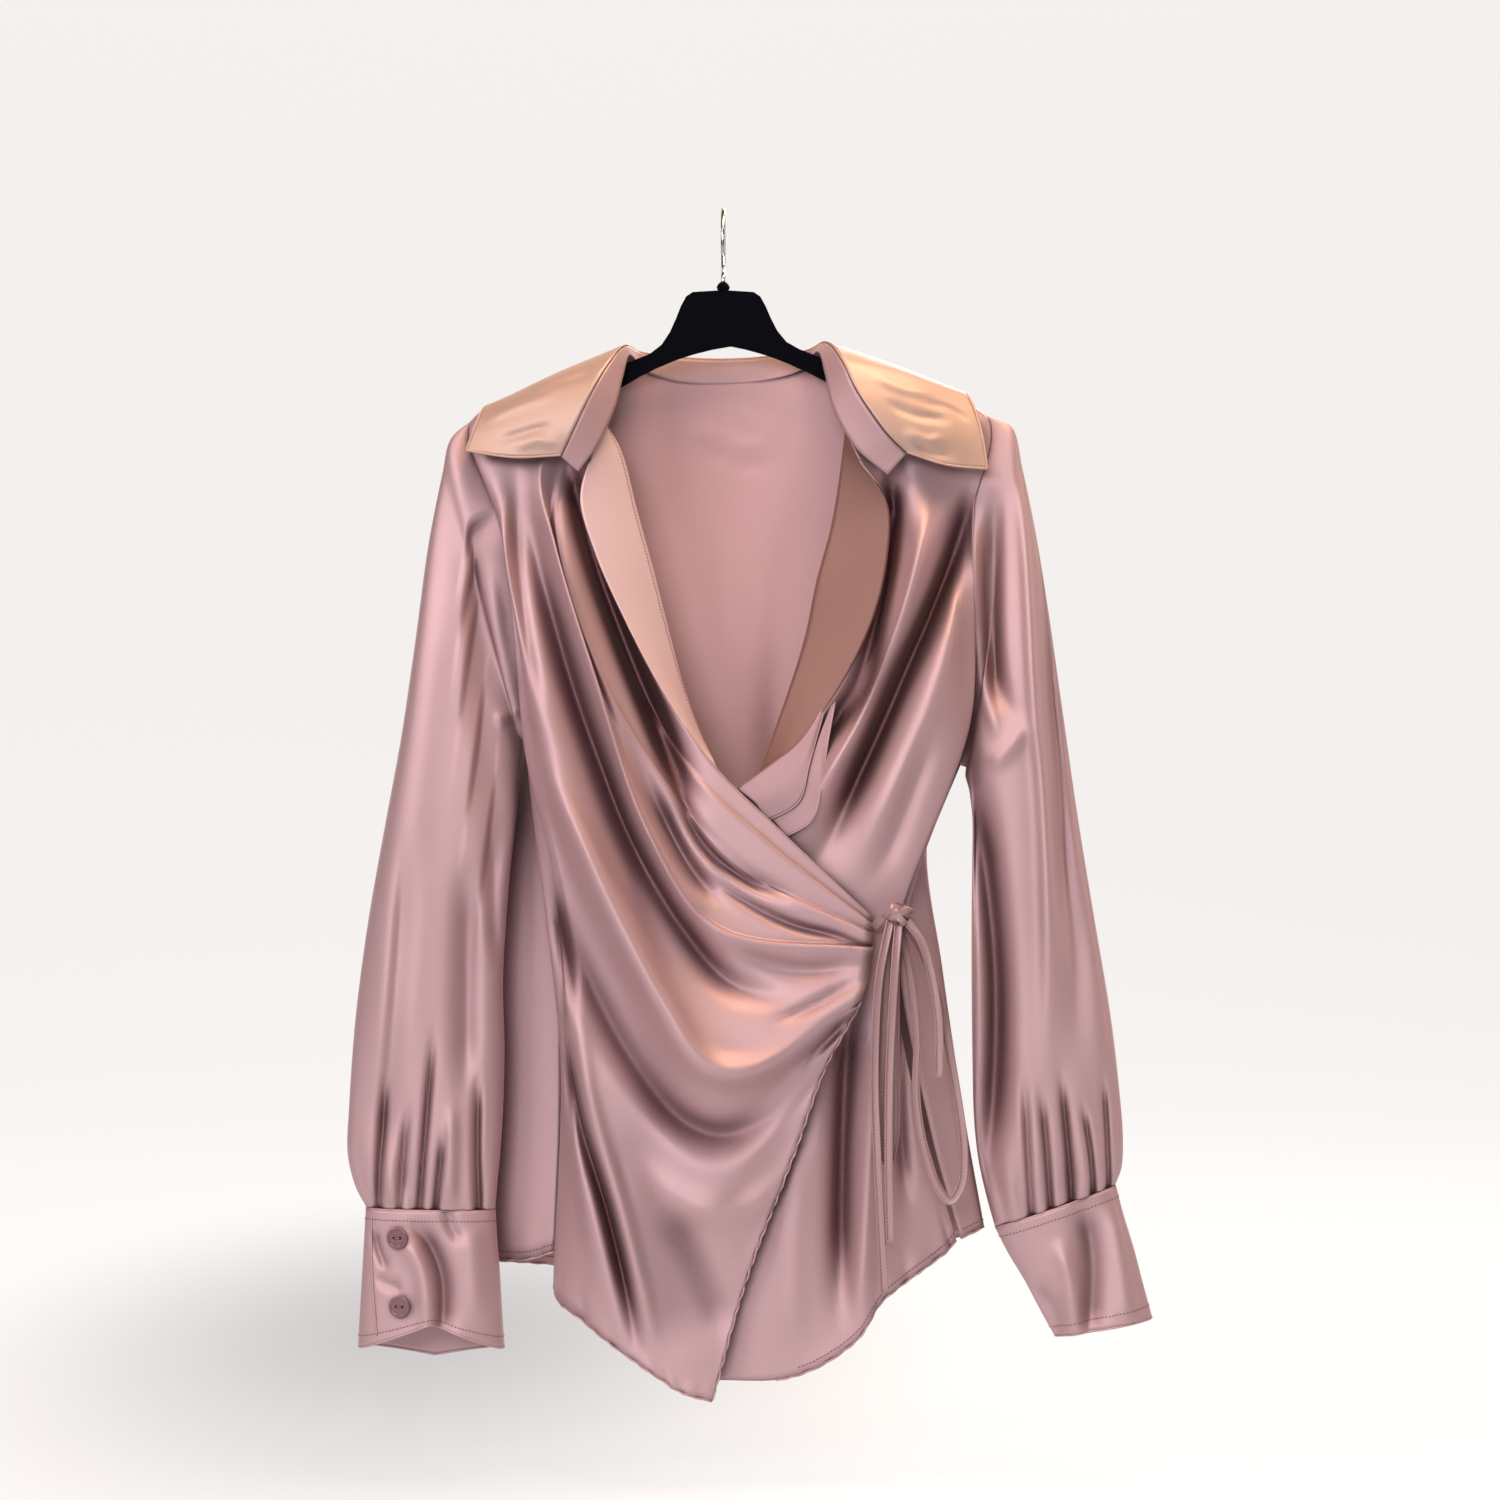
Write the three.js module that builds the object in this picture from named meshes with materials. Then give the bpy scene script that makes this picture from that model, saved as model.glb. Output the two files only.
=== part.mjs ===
// Satin wrap top with a folded collar, tied at one side, on a plain black hanger.
// Millimetres. X runs to the viewer's right, Y away from the viewer, Z up.
// The origin is the inner top of the hook, where a rail carries the hanger.
import * as THREE from 'three';

// Driving sizes
const CLOTH = 1.2;
const CUFF_CLOTH = 1.6;
const SEAM_SPACE = 3;
const FALL_RISE = 2;
const FALL_OUT = 1.4;
const ARM_THICK = 5;
const HOOK_WIRE = 3;
const HOOK_INNER_RADIUS = 19.5;
const HOOK_FOOT_Z = -45.6;
const BUTTON_WIDTH = 14;
const BUTTON_THICK = 2.4;
const STRAP_WIDTH = 5.5;
const STRAP_THICK = 1.8;

// Colours
const SATIN = 0xb58a8a;
const SATIN_BACK = 0xa87c7e;
const BLACK = 0x0b0c12;
const STEEL = 0x9a9a98;

const garment = new THREE.Group();

function v3(x, y, z) {
  return new THREE.Vector3(x, y, z);
}

function addPiece(name, geometry, color = SATIN, roughness = 0.4, metalness = 0) {
  const material = new THREE.MeshStandardMaterial({ color, roughness, metalness });
  const mesh = new THREE.Mesh(geometry, material);
  mesh.name = name;
  garment.add(mesh);
  return mesh;
}

// Cloth walls

function gridNormals(grid, ring) {
  const rows = grid.length;
  const cols = grid[0].length;
  return grid.map((row, r) => row.map((point, c) => {
    const up = grid[Math.max(r - 1, 0)][c];
    const down = grid[Math.min(r + 1, rows - 1)][c];
    const before = ring ? row[(c + cols - 1) % cols] : row[Math.max(c - 1, 0)];
    const after = ring ? row[(c + 1) % cols] : row[Math.min(c + 1, cols - 1)];
    const alongRows = down.clone().sub(up);
    return alongRows.cross(after.clone().sub(before)).normalize();
  }));
}

// A closed wall round the middle surface given by a grid of points
function wall(grid, thickness, ring = false) {
  const rows = grid.length;
  const cols = grid[0].length;
  const normals = gridNormals(grid, ring);
  const positions = [];
  for (const side of [0.5, -0.5]) {
    grid.forEach((row, r) => row.forEach((point, c) => {
      const moved = point.clone().addScaledVector(normals[r][c], side * thickness);
      positions.push(moved.x, moved.y, moved.z);
    }));
  }
  const at = (side, r, c) => (side * rows + r) * cols + (c % cols);
  const faces = [];
  const quad = (a, b, c, d) => faces.push(a, b, c, a, c, d);
  const spans = ring ? cols : cols - 1;
  for (let c = 0; c < spans; c += 1) {
    for (let r = 0; r < rows - 1; r += 1) {
      quad(at(0, r, c), at(0, r + 1, c), at(0, r + 1, c + 1), at(0, r, c + 1));
      quad(at(1, r, c), at(1, r, c + 1), at(1, r + 1, c + 1), at(1, r + 1, c));
    }
    const last = rows - 1;
    quad(at(0, 0, c), at(0, 0, c + 1), at(1, 0, c + 1), at(1, 0, c));
    quad(at(0, last, c + 1), at(0, last, c), at(1, last, c), at(1, last, c + 1));
  }
  if (!ring) {
    const last = cols - 1;
    for (let r = 0; r < rows - 1; r += 1) {
      quad(at(0, r + 1, 0), at(0, r, 0), at(1, r, 0), at(1, r + 1, 0));
      quad(at(0, r, last), at(0, r + 1, last), at(1, r + 1, last), at(1, r, last));
    }
  }
  const geometry = new THREE.BufferGeometry();
  geometry.setAttribute('position', new THREE.Float32BufferAttribute(positions, 3));
  geometry.setIndex(faces);
  return geometry;
}

// Points along a smooth line, with a number of steps for each stretch between its points
function alongLine(points, steps) {
  const curve = new THREE.CatmullRomCurve3(points, false, 'centripetal');
  const stretches = points.length - 1;
  const out = [];
  for (let i = 0; i < stretches; i += 1) {
    const count = Array.isArray(steps) ? steps[i] : steps;
    for (let k = 0; k < count; k += 1) {
      out.push(curve.getPoint((i + k / count) / stretches));
    }
  }
  out.push(points[stretches].clone());
  return out;
}

// A panel lofted over its lines, smooth inside each band and creased between bands
function panelGrid(lines, along, bands) {
  const drawn = lines.map((line) => alongLine(line, along));
  const grid = [];
  bands.forEach(({ from, to, steps }, index) => {
    const columns = drawn[0].map((point, c) => {
      const across = drawn.slice(from, to + 1).map((line) => line[c]);
      return alongLine(across, steps);
    });
    const rows = columns[0].length;
    for (let r = index === 0 ? 0 : 1; r < rows; r += 1) {
      grid.push(columns.map((column) => column[r]));
    }
  });
  return grid;
}

// How far a point lies from a fold line, seen from the front, and how far along it
function offLine(point, line) {
  let best = Infinity;
  let where = 0;
  for (let i = 0; i < line.length - 1; i += 1) {
    const [ax, az] = line[i];
    const [bx, bz] = line[i + 1];
    const dx = bx - ax;
    const dz = bz - az;
    const free = ((point.x - ax) * dx + (point.z - az) * dz) / (dx * dx + dz * dz);
    const t = Math.min(Math.max(free, 0), 1);
    const away = Math.hypot(point.x - ax - dx * t, point.z - az - dz * t);
    if (away < best) {
      best = away;
      where = (i + t) / (line.length - 1);
    }
  }
  return { away: best, where };
}

// Soft folds: a height above nought stands towards the viewer, one below it goes in
function fold(grid, folds, keep = () => true) {
  for (const { line, width, height } of folds) {
    for (const row of grid) {
      for (const point of row) {
        const { away, where } = offLine(point, line);
        const fade = Math.min(1, 4 * where, 4 * (1 - where)) || 0;
        if (keep(point) && fade > 0) {
          point.y -= height * fade * Math.exp(-((away / width) ** 2));
        }
      }
    }
  }
}

// Hanger

const ARM = {
  left: { neckX: -48, neckZ: -93, slope: 0.403, tipX: -159, tipHeight: 10, neckHeight: 15 },
  right: { neckX: 50, neckZ: -90, slope: 0.385, tipX: 166, tipHeight: 10, neckHeight: 15 },
};

function armTop(x) {
  const { neckX, neckZ, slope } = x < 0 ? ARM.left : ARM.right;
  return neckZ - slope * Math.abs(x - neckX);
}

function armHeight(x) {
  const { neckX, tipX, tipHeight, neckHeight } = x < 0 ? ARM.left : ARM.right;
  const share = (x - neckX) / (tipX - neckX);
  return neckHeight + (tipHeight - neckHeight) * share;
}

const HUMP_TOP_Z = -51.5;
const HUMP_HALF = 20;
const ARCH_TOP_Z = -88;

const hangerOutline = new THREE.Shape();
hangerOutline.moveTo(-HUMP_HALF, HUMP_TOP_Z - 1);
hangerOutline.lineTo(-4, HUMP_TOP_Z);
hangerOutline.lineTo(4, HUMP_TOP_Z);
hangerOutline.lineTo(HUMP_HALF, HUMP_TOP_Z - 1);
hangerOutline.bezierCurveTo(30, -54, 30, -84, ARM.right.neckX, ARM.right.neckZ);
hangerOutline.lineTo(ARM.right.tipX, armTop(ARM.right.tipX));
const rightTipLow = armTop(ARM.right.tipX) - ARM.right.tipHeight;
hangerOutline.quadraticCurveTo(ARM.right.tipX + 5, rightTipLow + 6, ARM.right.tipX - 1, rightTipLow);
hangerOutline.lineTo(66, armTop(66) - armHeight(66));
hangerOutline.quadraticCurveTo(34, ARCH_TOP_Z - 5, 5, ARCH_TOP_Z);
hangerOutline.quadraticCurveTo(-32, ARCH_TOP_Z - 5, -66, armTop(-66) - armHeight(-66));
const leftTipLow = armTop(ARM.left.tipX) - ARM.left.tipHeight;
hangerOutline.lineTo(ARM.left.tipX + 1, leftTipLow);
hangerOutline.quadraticCurveTo(ARM.left.tipX - 5, leftTipLow + 6, ARM.left.tipX, armTop(ARM.left.tipX));
hangerOutline.lineTo(ARM.left.neckX, ARM.left.neckZ);
hangerOutline.bezierCurveTo(-30, -84, -30, -54, -HUMP_HALF, HUMP_TOP_Z - 1);

const hangerGeometry = new THREE.ExtrudeGeometry(hangerOutline, {
  depth: ARM_THICK, bevelEnabled: false, curveSegments: 6,
});
hangerGeometry.translate(0, 0, -ARM_THICK / 2);
hangerGeometry.rotateX(Math.PI / 2);
addPiece('hanger', hangerGeometry, BLACK, 0.5);

const bossProfile = [
  [0, HUMP_TOP_Z + 0.35], [3.6, HUMP_TOP_Z + 0.35], [4.4, HUMP_TOP_Z + 2], [3.6, HUMP_TOP_Z + 4],
  [2.2, HOOK_FOOT_Z - 0.35], [0, HOOK_FOOT_Z - 0.35],
].map(([radius, z]) => new THREE.Vector2(radius, z));
const bossGeometry = new THREE.LatheGeometry(bossProfile, 16);
bossGeometry.rotateX(Math.PI / 2);
addPiece('hook_boss', bossGeometry, BLACK, 0.5);

// The hook lies in the plane that goes away from the viewer
function hookPath() {
  const radius = HOOK_INNER_RADIUS + HOOK_WIRE / 2;
  const points = [v3(0, 0, HOOK_FOOT_Z), v3(0, 0.6, HOOK_FOOT_Z + 3), v3(0, 5, HOOK_FOOT_Z + 6)];
  const first = -0.9;
  const last = Math.PI + 0.45;
  const turns = 12;
  for (let i = 0; i <= turns; i += 1) {
    const angle = first + (last - first) * i / turns;
    points.push(v3(0, radius * Math.cos(angle), -HOOK_INNER_RADIUS + radius * Math.sin(angle)));
  }
  return new THREE.CatmullRomCurve3(points, false, 'centripetal');
}

function roundSection(width, thick, sides) {
  const section = new THREE.Shape();
  for (let i = 0; i < sides; i += 1) {
    const angle = 2 * Math.PI * i / sides;
    const place = [width / 2 * Math.cos(angle), thick / 2 * Math.sin(angle)];
    if (i === 0) {
      section.moveTo(...place);
    } else {
      section.lineTo(...place);
    }
  }
  section.closePath();
  return section;
}

addPiece('hook', new THREE.ExtrudeGeometry(roundSection(HOOK_WIRE, HOOK_WIRE, 8), {
  steps: 40, extrudePath: hookPath(),
}), STEEL, 0.3, 0.9);

// Armholes, from the shoulder tip to the underarm, with the depth of the front and back edge
const ARMHOLES = {
  left: [
    { x: -168, z: -139, front: 1, back: 1 },
    { x: -161, z: -164, front: 8, back: 9 },
    { x: -149, z: -194, front: 11, back: 13 },
    { x: -139, z: -238, front: 13, back: 16 },
    { x: -133.5, z: -277, front: 13, back: 17 },
    { x: -130, z: -320, front: 8, back: 12 },
    { x: -129, z: -342, front: 1, back: 1 },
  ],
  right: [
    { x: 177, z: -136, front: 1, back: 1 },
    { x: 172, z: -156, front: 8, back: 9 },
    { x: 165, z: -192, front: 12, back: 13 },
    { x: 161, z: -232, front: 13, back: 16 },
    { x: 164, z: -276, front: 13, back: 17 },
    { x: 167, z: -318, front: 11, back: 13 },
    { x: 157, z: -360, front: 1, back: 1 },
  ],
};

// A panel line that starts on the shoulder seam, goes over the arm and down
function overArm(x, side, points) {
  const top = armTop(x);
  return [v3(x, side * 0.9, top + 3), v3(x, side * 6.6, top - 2), ...points.map((p) => v3(...p))];
}

// A panel line that starts at an armhole, a side seam or the neck
function fromEdge(start, points) {
  const first = v3(...start);
  return [first, first.clone().lerp(v3(...points[0]), 0.12), ...points.map((p) => v3(...p))];
}

// Front that crosses over: a row for each fold line, from the shoulder, armhole or side to the tie
const OVER_LINES = {
  neckEdge: overArm(-66, -1, [
    [-85, -26, -161], [-93, -29, -188], [-63, -31, -270], [-11, -34, -357], [38, -35, -406], [97, -34, -462]]),
  pleatTwo: overArm(-74, -1, [
    [-94, -22, -164], [-101, -26, -197], [-72, -30, -279], [-25, -37, -361], [28, -38, -412], [97, -37, -467]]),
  pleatThree: overArm(-84, -1, [
    [-102, -18, -167], [-109, -23, -205], [-82, -26, -298], [-30, -38, -384], [14, -41, -432], [97, -40, -473]]),
  hollow: overArm(-91, -1, [
    [-109, -17, -170], [-112, -22, -212], [-84, -24, -302], [-40, -31, -398], [2, -38, -452], [97, -40, -477]]),
  pleatFour: overArm(-99, -1, [
    [-119, -22, -172], [-109, -31, -219], [-84, -38, -300], [-47, -42, -408], [-4, -46, -468], [97, -43, -482]]),
  valley: overArm(-122, -1, [
    [-133, -15, -174], [-121, -22, -228], [-98, -29, -300], [-64, -33, -404], [-16, -39, -490], [95.5, -40, -494]]),
  swag: overArm(-165, -1, [
    [-147, -18, -184], [-137, -28, -242], [-114, -41, -340], [-64, -50, -470], [-8, -56, -555], [91, -44, -512]]),
  underSwag: fromEdge([-147, -11, -196], [
    [-143, -14, -222], [-134, -19, -275], [-118, -26, -366], [-74, -34, -495], [-8, -40, -597], [84, -38, -527]]),
  lowerRidge: fromEdge([-133, -12.5, -272], [
    [-130.5, -13, -312], [-128, -14, -360], [-108, -26, -430], [-80, -36, -541], [-8, -44, -628], [68, -36, -556]]),
  plate: fromEdge([-128, -3, -348], [
    [-126, -7, -376], [-114, -14, -397], [-106, -22, -480], [-90, -34, -572], [-30, -42, -668], [46, -35, -616]]),
  skirt: fromEdge([-107, 3, -548], [
    [-105.5, 0, -572], [-102, -8, -604], [-88, -26, -650], [-62, -36, -692], [-30, -38, -722], [16, -34, -695]]),
  hem: fromEdge([-111.5, 3, -706], [
    [-108.6, -2, -714], [-93, -16, -725], [-70, -28, -742], [-46, -34, -758], [-27, -34, -770], [-7, -32, -776]]),
};

// The cloth of a pleat runs in behind the next pleat's edge
function tucked(edge, above, depth) {
  return edge.map((point, i) => {
    const share = Math.max(0, i - 2) / (edge.length - 3);
    const toward = above[i].clone().sub(point);
    const space = Math.min(1.8, 0.4 * toward.length());
    const moved = point.clone().addScaledVector(toward.normalize(), space);
    moved.y += depth * share;
    return moved;
  });
}

const overRows = [
  OVER_LINES.neckEdge,
  tucked(OVER_LINES.pleatTwo, OVER_LINES.neckEdge, 2.6),
  OVER_LINES.pleatTwo,
  tucked(OVER_LINES.pleatThree, OVER_LINES.pleatTwo, 3),
  OVER_LINES.pleatThree,
  OVER_LINES.hollow,
  tucked(OVER_LINES.pleatFour, OVER_LINES.hollow, 4),
  OVER_LINES.pleatFour,
  OVER_LINES.valley,
  OVER_LINES.swag,
  OVER_LINES.underSwag,
  OVER_LINES.lowerRidge,
  OVER_LINES.plate,
  OVER_LINES.skirt,
  OVER_LINES.hem,
];
const overGrid = panelGrid(overRows, [1, 3, 3, 3, 3, 3, 3], [
  { from: 0, to: 1, steps: 1 },
  { from: 1, to: 2, steps: 1 },
  { from: 2, to: 3, steps: 1 },
  { from: 3, to: 4, steps: 1 },
  { from: 4, to: 6, steps: 2 },
  { from: 6, to: 7, steps: 1 },
  { from: 7, to: 14, steps: 3 },
]);
fold(overGrid, [
  { line: [[-104, -512], [-86, -590], [-60, -690], [-44, -756]], width: 9, height: 7 },
  { line: [[-88, -520], [-64, -620], [-36, -700], [-20, -750]], width: 12, height: -5 },
  { line: [[-20, -600], [10, -600], [60, -560]], width: 10, height: -5 },
]);
addPiece('front_over', wall(overGrid, CLOTH));

// Front that passes behind: a row for each fold line
const UNDER_LINES = [
  overArm(67, -1, [
    [87, -26, -161], [107, -28, -192], [96, -30, -272], [42, -27, -357], [-5, -24, -396], [-70, -20, -452]]),
  overArm(84, -1, [
    [104, -21, -168], [119, -27, -214], [106, -34, -282], [58, -29, -374], [2, -24, -420], [-72, -20, -466]]),
  overArm(104, -1, [
    [126, -19, -172], [128, -36, -228], [110, -41, -283], [70, -34, -372], [10, -24, -442], [-74, -20, -482]]),
  overArm(132, -1, [
    [145, -14, -170], [146, -19, -229], [124, -25, -295], [90, -25, -378], [22, -22, -468], [-70, -19, -508]]),
  overArm(173, -1, [
    [159, -12, -174], [152, -17, -236], [140, -29, -300], [106, -32, -392], [44, -22, -476], [-62, -18, -535]]),
  fromEdge([164, -12, -193], [
    [160, -13, -222], [155, -18, -268], [143, -30, -325], [111, -30, -412], [52, -22, -496], [-58, -18, -562]]),
  fromEdge([163, -12.5, -268], [
    [164, -15, -300], [162, -19, -330], [148, -25, -372], [115, -27, -436], [60, -22, -520], [-52, -18, -590]]),
  fromEdge([154, -3, -362], [
    [146, -8, -378], [135, -12, -402], [115, -18, -446], [104, -24, -500], [60, -24, -580], [-42, -19, -640]]),
  fromEdge([111, -12, -470], [
    [111, -15, -492], [109, -20, -518], [100, -25, -560], [80, -27, -602], [40, -26, -645], [-30, -20, -690]]),
  fromEdge([121, -13, -560], [
    [119, -17, -580], [113, -22, -602], [99, -26, -636], [78, -28, -668], [36, -26, -700], [-18, -20, -728]]),
  fromEdge([152.5, -11, -674], [
    [146, -14, -681], [122, -20, -698], [104, -24, -712], [86, -27, -738], [46, -26, -761], [-8, -20, -764]]),
];
const underGrid = panelGrid(UNDER_LINES, [1, 2, 2, 3, 3, 2, 2], [{ from: 0, to: 10, steps: 2 }]);
fold(underGrid, [
  { line: [[104, -520], [92, -600], [86, -680], [84, -738]], width: 9, height: 5 },
  { line: [[76, -520], [72, -620], [70, -740]], width: 9, height: -5 },
]);
addPiece('front_under', wall(underGrid, CLOTH));

// Back: a row for each line from the top edge to the hem, from the left side seam to the right one
const BACK_LINES = [
  fromEdge([-129, 1.5, -344], [
    [-122, 3, -372], [-114, 5, -420], [-108, 6.5, -500], [-107.5, 6.5, -590], [-111, 6.5, -683]]),
  fromEdge([-131, 9, -328], [
    [-130, 10, -370], [-128, 12, -420], [-126, 13, -500], [-127, 13, -590], [-130, 12, -689]]),
  fromEdge([-131, 15, -306], [
    [-135, 18, -360], [-142, 20, -415], [-148, 20, -500], [-151, 20, -590], [-152, 20, -690]]),
  fromEdge([-137, 17, -250], [
    [-128, 24, -320], [-126, 27, -400], [-126, 27, -490], [-126, 27, -590], [-124, 28, -693]]),
  fromEdge([-149, 13, -193], [
    [-120, 23, -270], [-104, 29, -370], [-100, 29, -480], [-98, 29, -590], [-95, 30, -696]]),
  overArm(-165, 1, [
    [-130, 18, -215], [-85, 28, -340], [-75, 29, -470], [-73, 29, -590], [-70, 30, -699]]),
  overArm(-118, 1, [
    [-85, 21, -210], [-55, 28, -340], [-48, 29, -470], [-46, 28, -590], [-44, 29, -701]]),
  overArm(-69, 1, [
    [-44, 24, -200], [-26, 28, -340], [-22, 28, -470], [-22, 28, -590], [-20, 28, -703]]),
  fromEdge([-54, 14, -101], [
    [-32, 25, -200], [-19, 28, -340], [-17, 28, -470], [-17, 28, -590], [-15, 28, -703]]),
  fromEdge([-30, 21.5, -109.5], [
    [-20, 26, -200], [-12, 28, -340], [-11, 28, -470], [-11, 28, -590], [-10, 28, -704]]),
  fromEdge([0, 23.5, -110.5], [
    [0, 27, -200], [0, 28, -340], [0, 28, -470], [0, 28, -590], [0, 28, -704]]),
  fromEdge([30, 21.5, -108.5], [
    [20, 26, -200], [12, 28, -340], [11, 28, -470], [11, 28, -590], [10, 28, -704]]),
  fromEdge([55, 15.5, -101], [
    [33, 25, -200], [20, 28, -340], [17, 28, -470], [17, 28, -590], [16, 28, -703]]),
  overArm(67, 1, [
    [46, 24, -200], [28, 28, -340], [24, 28, -470], [24, 28, -590], [22, 28, -703]]),
  overArm(118, 1, [
    [90, 21, -210], [60, 28, -340], [50, 29, -470], [50, 28, -590], [50, 29, -700]]),
  overArm(173, 1, [
    [138, 18, -215], [96, 28, -340], [78, 28, -470], [78, 29, -590], [84, 29, -696]]),
  fromEdge([164, 13, -194], [
    [148, 22, -265], [124, 27, -370], [102, 25, -475], [108, 26, -590], [118, 26, -688]]),
  fromEdge([164, 16, -272], [
    [156, 18, -325], [134, 18, -400], [128, 16, -478], [140, 16, -590], [150, 16, -676]]),
  fromEdge([165, 10, -325], [
    [148, 6, -375], [133, 3, -415], [144, 1, -500], [158, 1, -593], [171, 0, -666]]),
  fromEdge([156, 1.5, -362], [
    [141, -2, -397], [125, -7, -434], [115, -10, -484], [136, -10.5, -603], [155.5, -8.5, -673]]),
];
const backGrid = panelGrid(BACK_LINES, [1, 2, 2, 2, 2, 2], [{ from: 0, to: 19, steps: 2 }]);
const behind = (point) => point.y > 19;
fold(backGrid, [
  { line: [[-40, -300], [-46, -450], [-52, -560], [-56, -700]], width: 14, height: -6 },
  { line: [[34, -260], [36, -420], [40, -560], [46, -700]], width: 14, height: -6 },
  { line: [[-4, -380], [-6, -520], [-8, -700]], width: 12, height: 5 },
], behind);
addPiece('back', wall(backGrid, CLOTH), SATIN_BACK);

// Facings, from the neck edge to their own inner edge
const FACING_GAP = 2.3;
const FACINGS = {
  facing_over: {
    neckEdge: OVER_LINES.neckEdge,
    inner: [[-64, -10, -139], [-67, -13, -160], [-57, -14, -195], [-46, -15, -235], [-33.5, -16, -284], [-25.5, -18, -313],
      [-14, -22, -344]],
    along: [0.27, 0.35, 0.435, 0.5, 0.57, 0.64, 0.7],
  },
  facing_under: {
    neckEdge: UNDER_LINES[0],
    inner: [[80, -10, -142], [78, -12, -162], [71.5, -12, -204], [61, -12, -244], [54, -12, -278], [42, -12, -317], [25, -16, -364]],
    along: [0.27, 0.35, 0.435, 0.5, 0.56, 0.63, 0.7],
  },
};
for (const [name, { neckEdge, inner, along }] of Object.entries(FACINGS)) {
  const curve = new THREE.CatmullRomCurve3(neckEdge, false, 'centripetal');
  const edge = along.map((share) => curve.getPoint(share).add(v3(0, FACING_GAP, 0)));
  const innerEdge = inner.map((point) => v3(...point));
  const middle = edge.map((point, i) => point.clone().lerp(innerEdge[i], 0.5).add(v3(0, -1, 0)));
  addPiece(name, wall(panelGrid([edge, middle, innerEdge], 3, [{ from: 0, to: 2, steps: 2 }]), CLOTH));
}

// Collar: the band stands on the neck seam and the fall is folded over its top
const COLLAR = [
  { seam: [-94, -30, -172], roll: [-105, -33, -162.5], edge: [-167, -27, -158] },
  { seam: [-83, -29, -157], roll: [-97, -36, -146], edge: [-162, -21, -143] },
  { seam: [-71, -22, -131], roll: [-84, -33, -119], edge: [-158, -13, -132] },
  { seam: [-65.5, -12, -108], roll: [-74, -22, -101], edge: [-154, -4, -127] },
  { seam: [-61.5, 0, -93.2], roll: [-64, 0, -88], edge: [-148, 7, -127] },
  { seam: [-51, 14, -101], roll: [-54, 17, -91], edge: [-128, 24, -135] },
  { seam: [-28, 21.5, -107.3], roll: [-30, 26, -93.5], edge: [-72, 35, -153] },
  { seam: [0, 23.5, -108.5], roll: [0, 28, -94.6], edge: [0, 38, -158] },
  { seam: [28, 21.5, -106.3], roll: [30, 26, -93], edge: [74, 35, -151] },
  { seam: [51, 14, -100], roll: [55, 17, -90], edge: [132, 24, -129] },
  { seam: [62, 0, -91], roll: [67, 0, -86], edge: [153, 7, -119] },
  { seam: [67, -12, -108], roll: [77, -22, -99], edge: [159, -4, -119] },
  { seam: [72, -22, -131], roll: [88, -33, -122], edge: [164, -13, -129] },
  { seam: [87, -29, -157], roll: [107, -36, -149], edge: [169, -21, -148] },
  { seam: [107, -30, -174], roll: [119, -33, -160.5], edge: [172, -27, -170] },
];
const seamLine = COLLAR.map(({ seam }) => v3(...seam));
const rollLine = COLLAR.map(({ roll }) => v3(...roll));
const standGrid = panelGrid([seamLine, rollLine], 2, [{ from: 0, to: 1, steps: 2 }]);
addPiece('collar_stand', wall(standGrid, CLOTH));

const fallTop = rollLine.map((point) => {
  const outward = FALL_OUT * THREE.MathUtils.clamp(point.y / 15, -1, 1);
  return point.clone().add(v3(0, outward, FALL_RISE));
});
const fallEdge = COLLAR.map(({ edge }) => v3(...edge));
const fallMiddle = fallTop.map((point, i) => {
  const bulge = v3(0, -3 * Math.sign(-fallEdge[i].y + 1), 2);
  const isEnd = i === 0 || i === fallTop.length - 1;
  return point.clone().lerp(fallEdge[i], 0.5).add(isEnd ? v3(0, -2, -5) : bulge);
});
const fallGrid = panelGrid([fallTop, fallMiddle, fallEdge], 2, [{ from: 0, to: 2, steps: 2 }]);
addPiece('collar_fall', wall(fallGrid, CLOTH));

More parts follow.
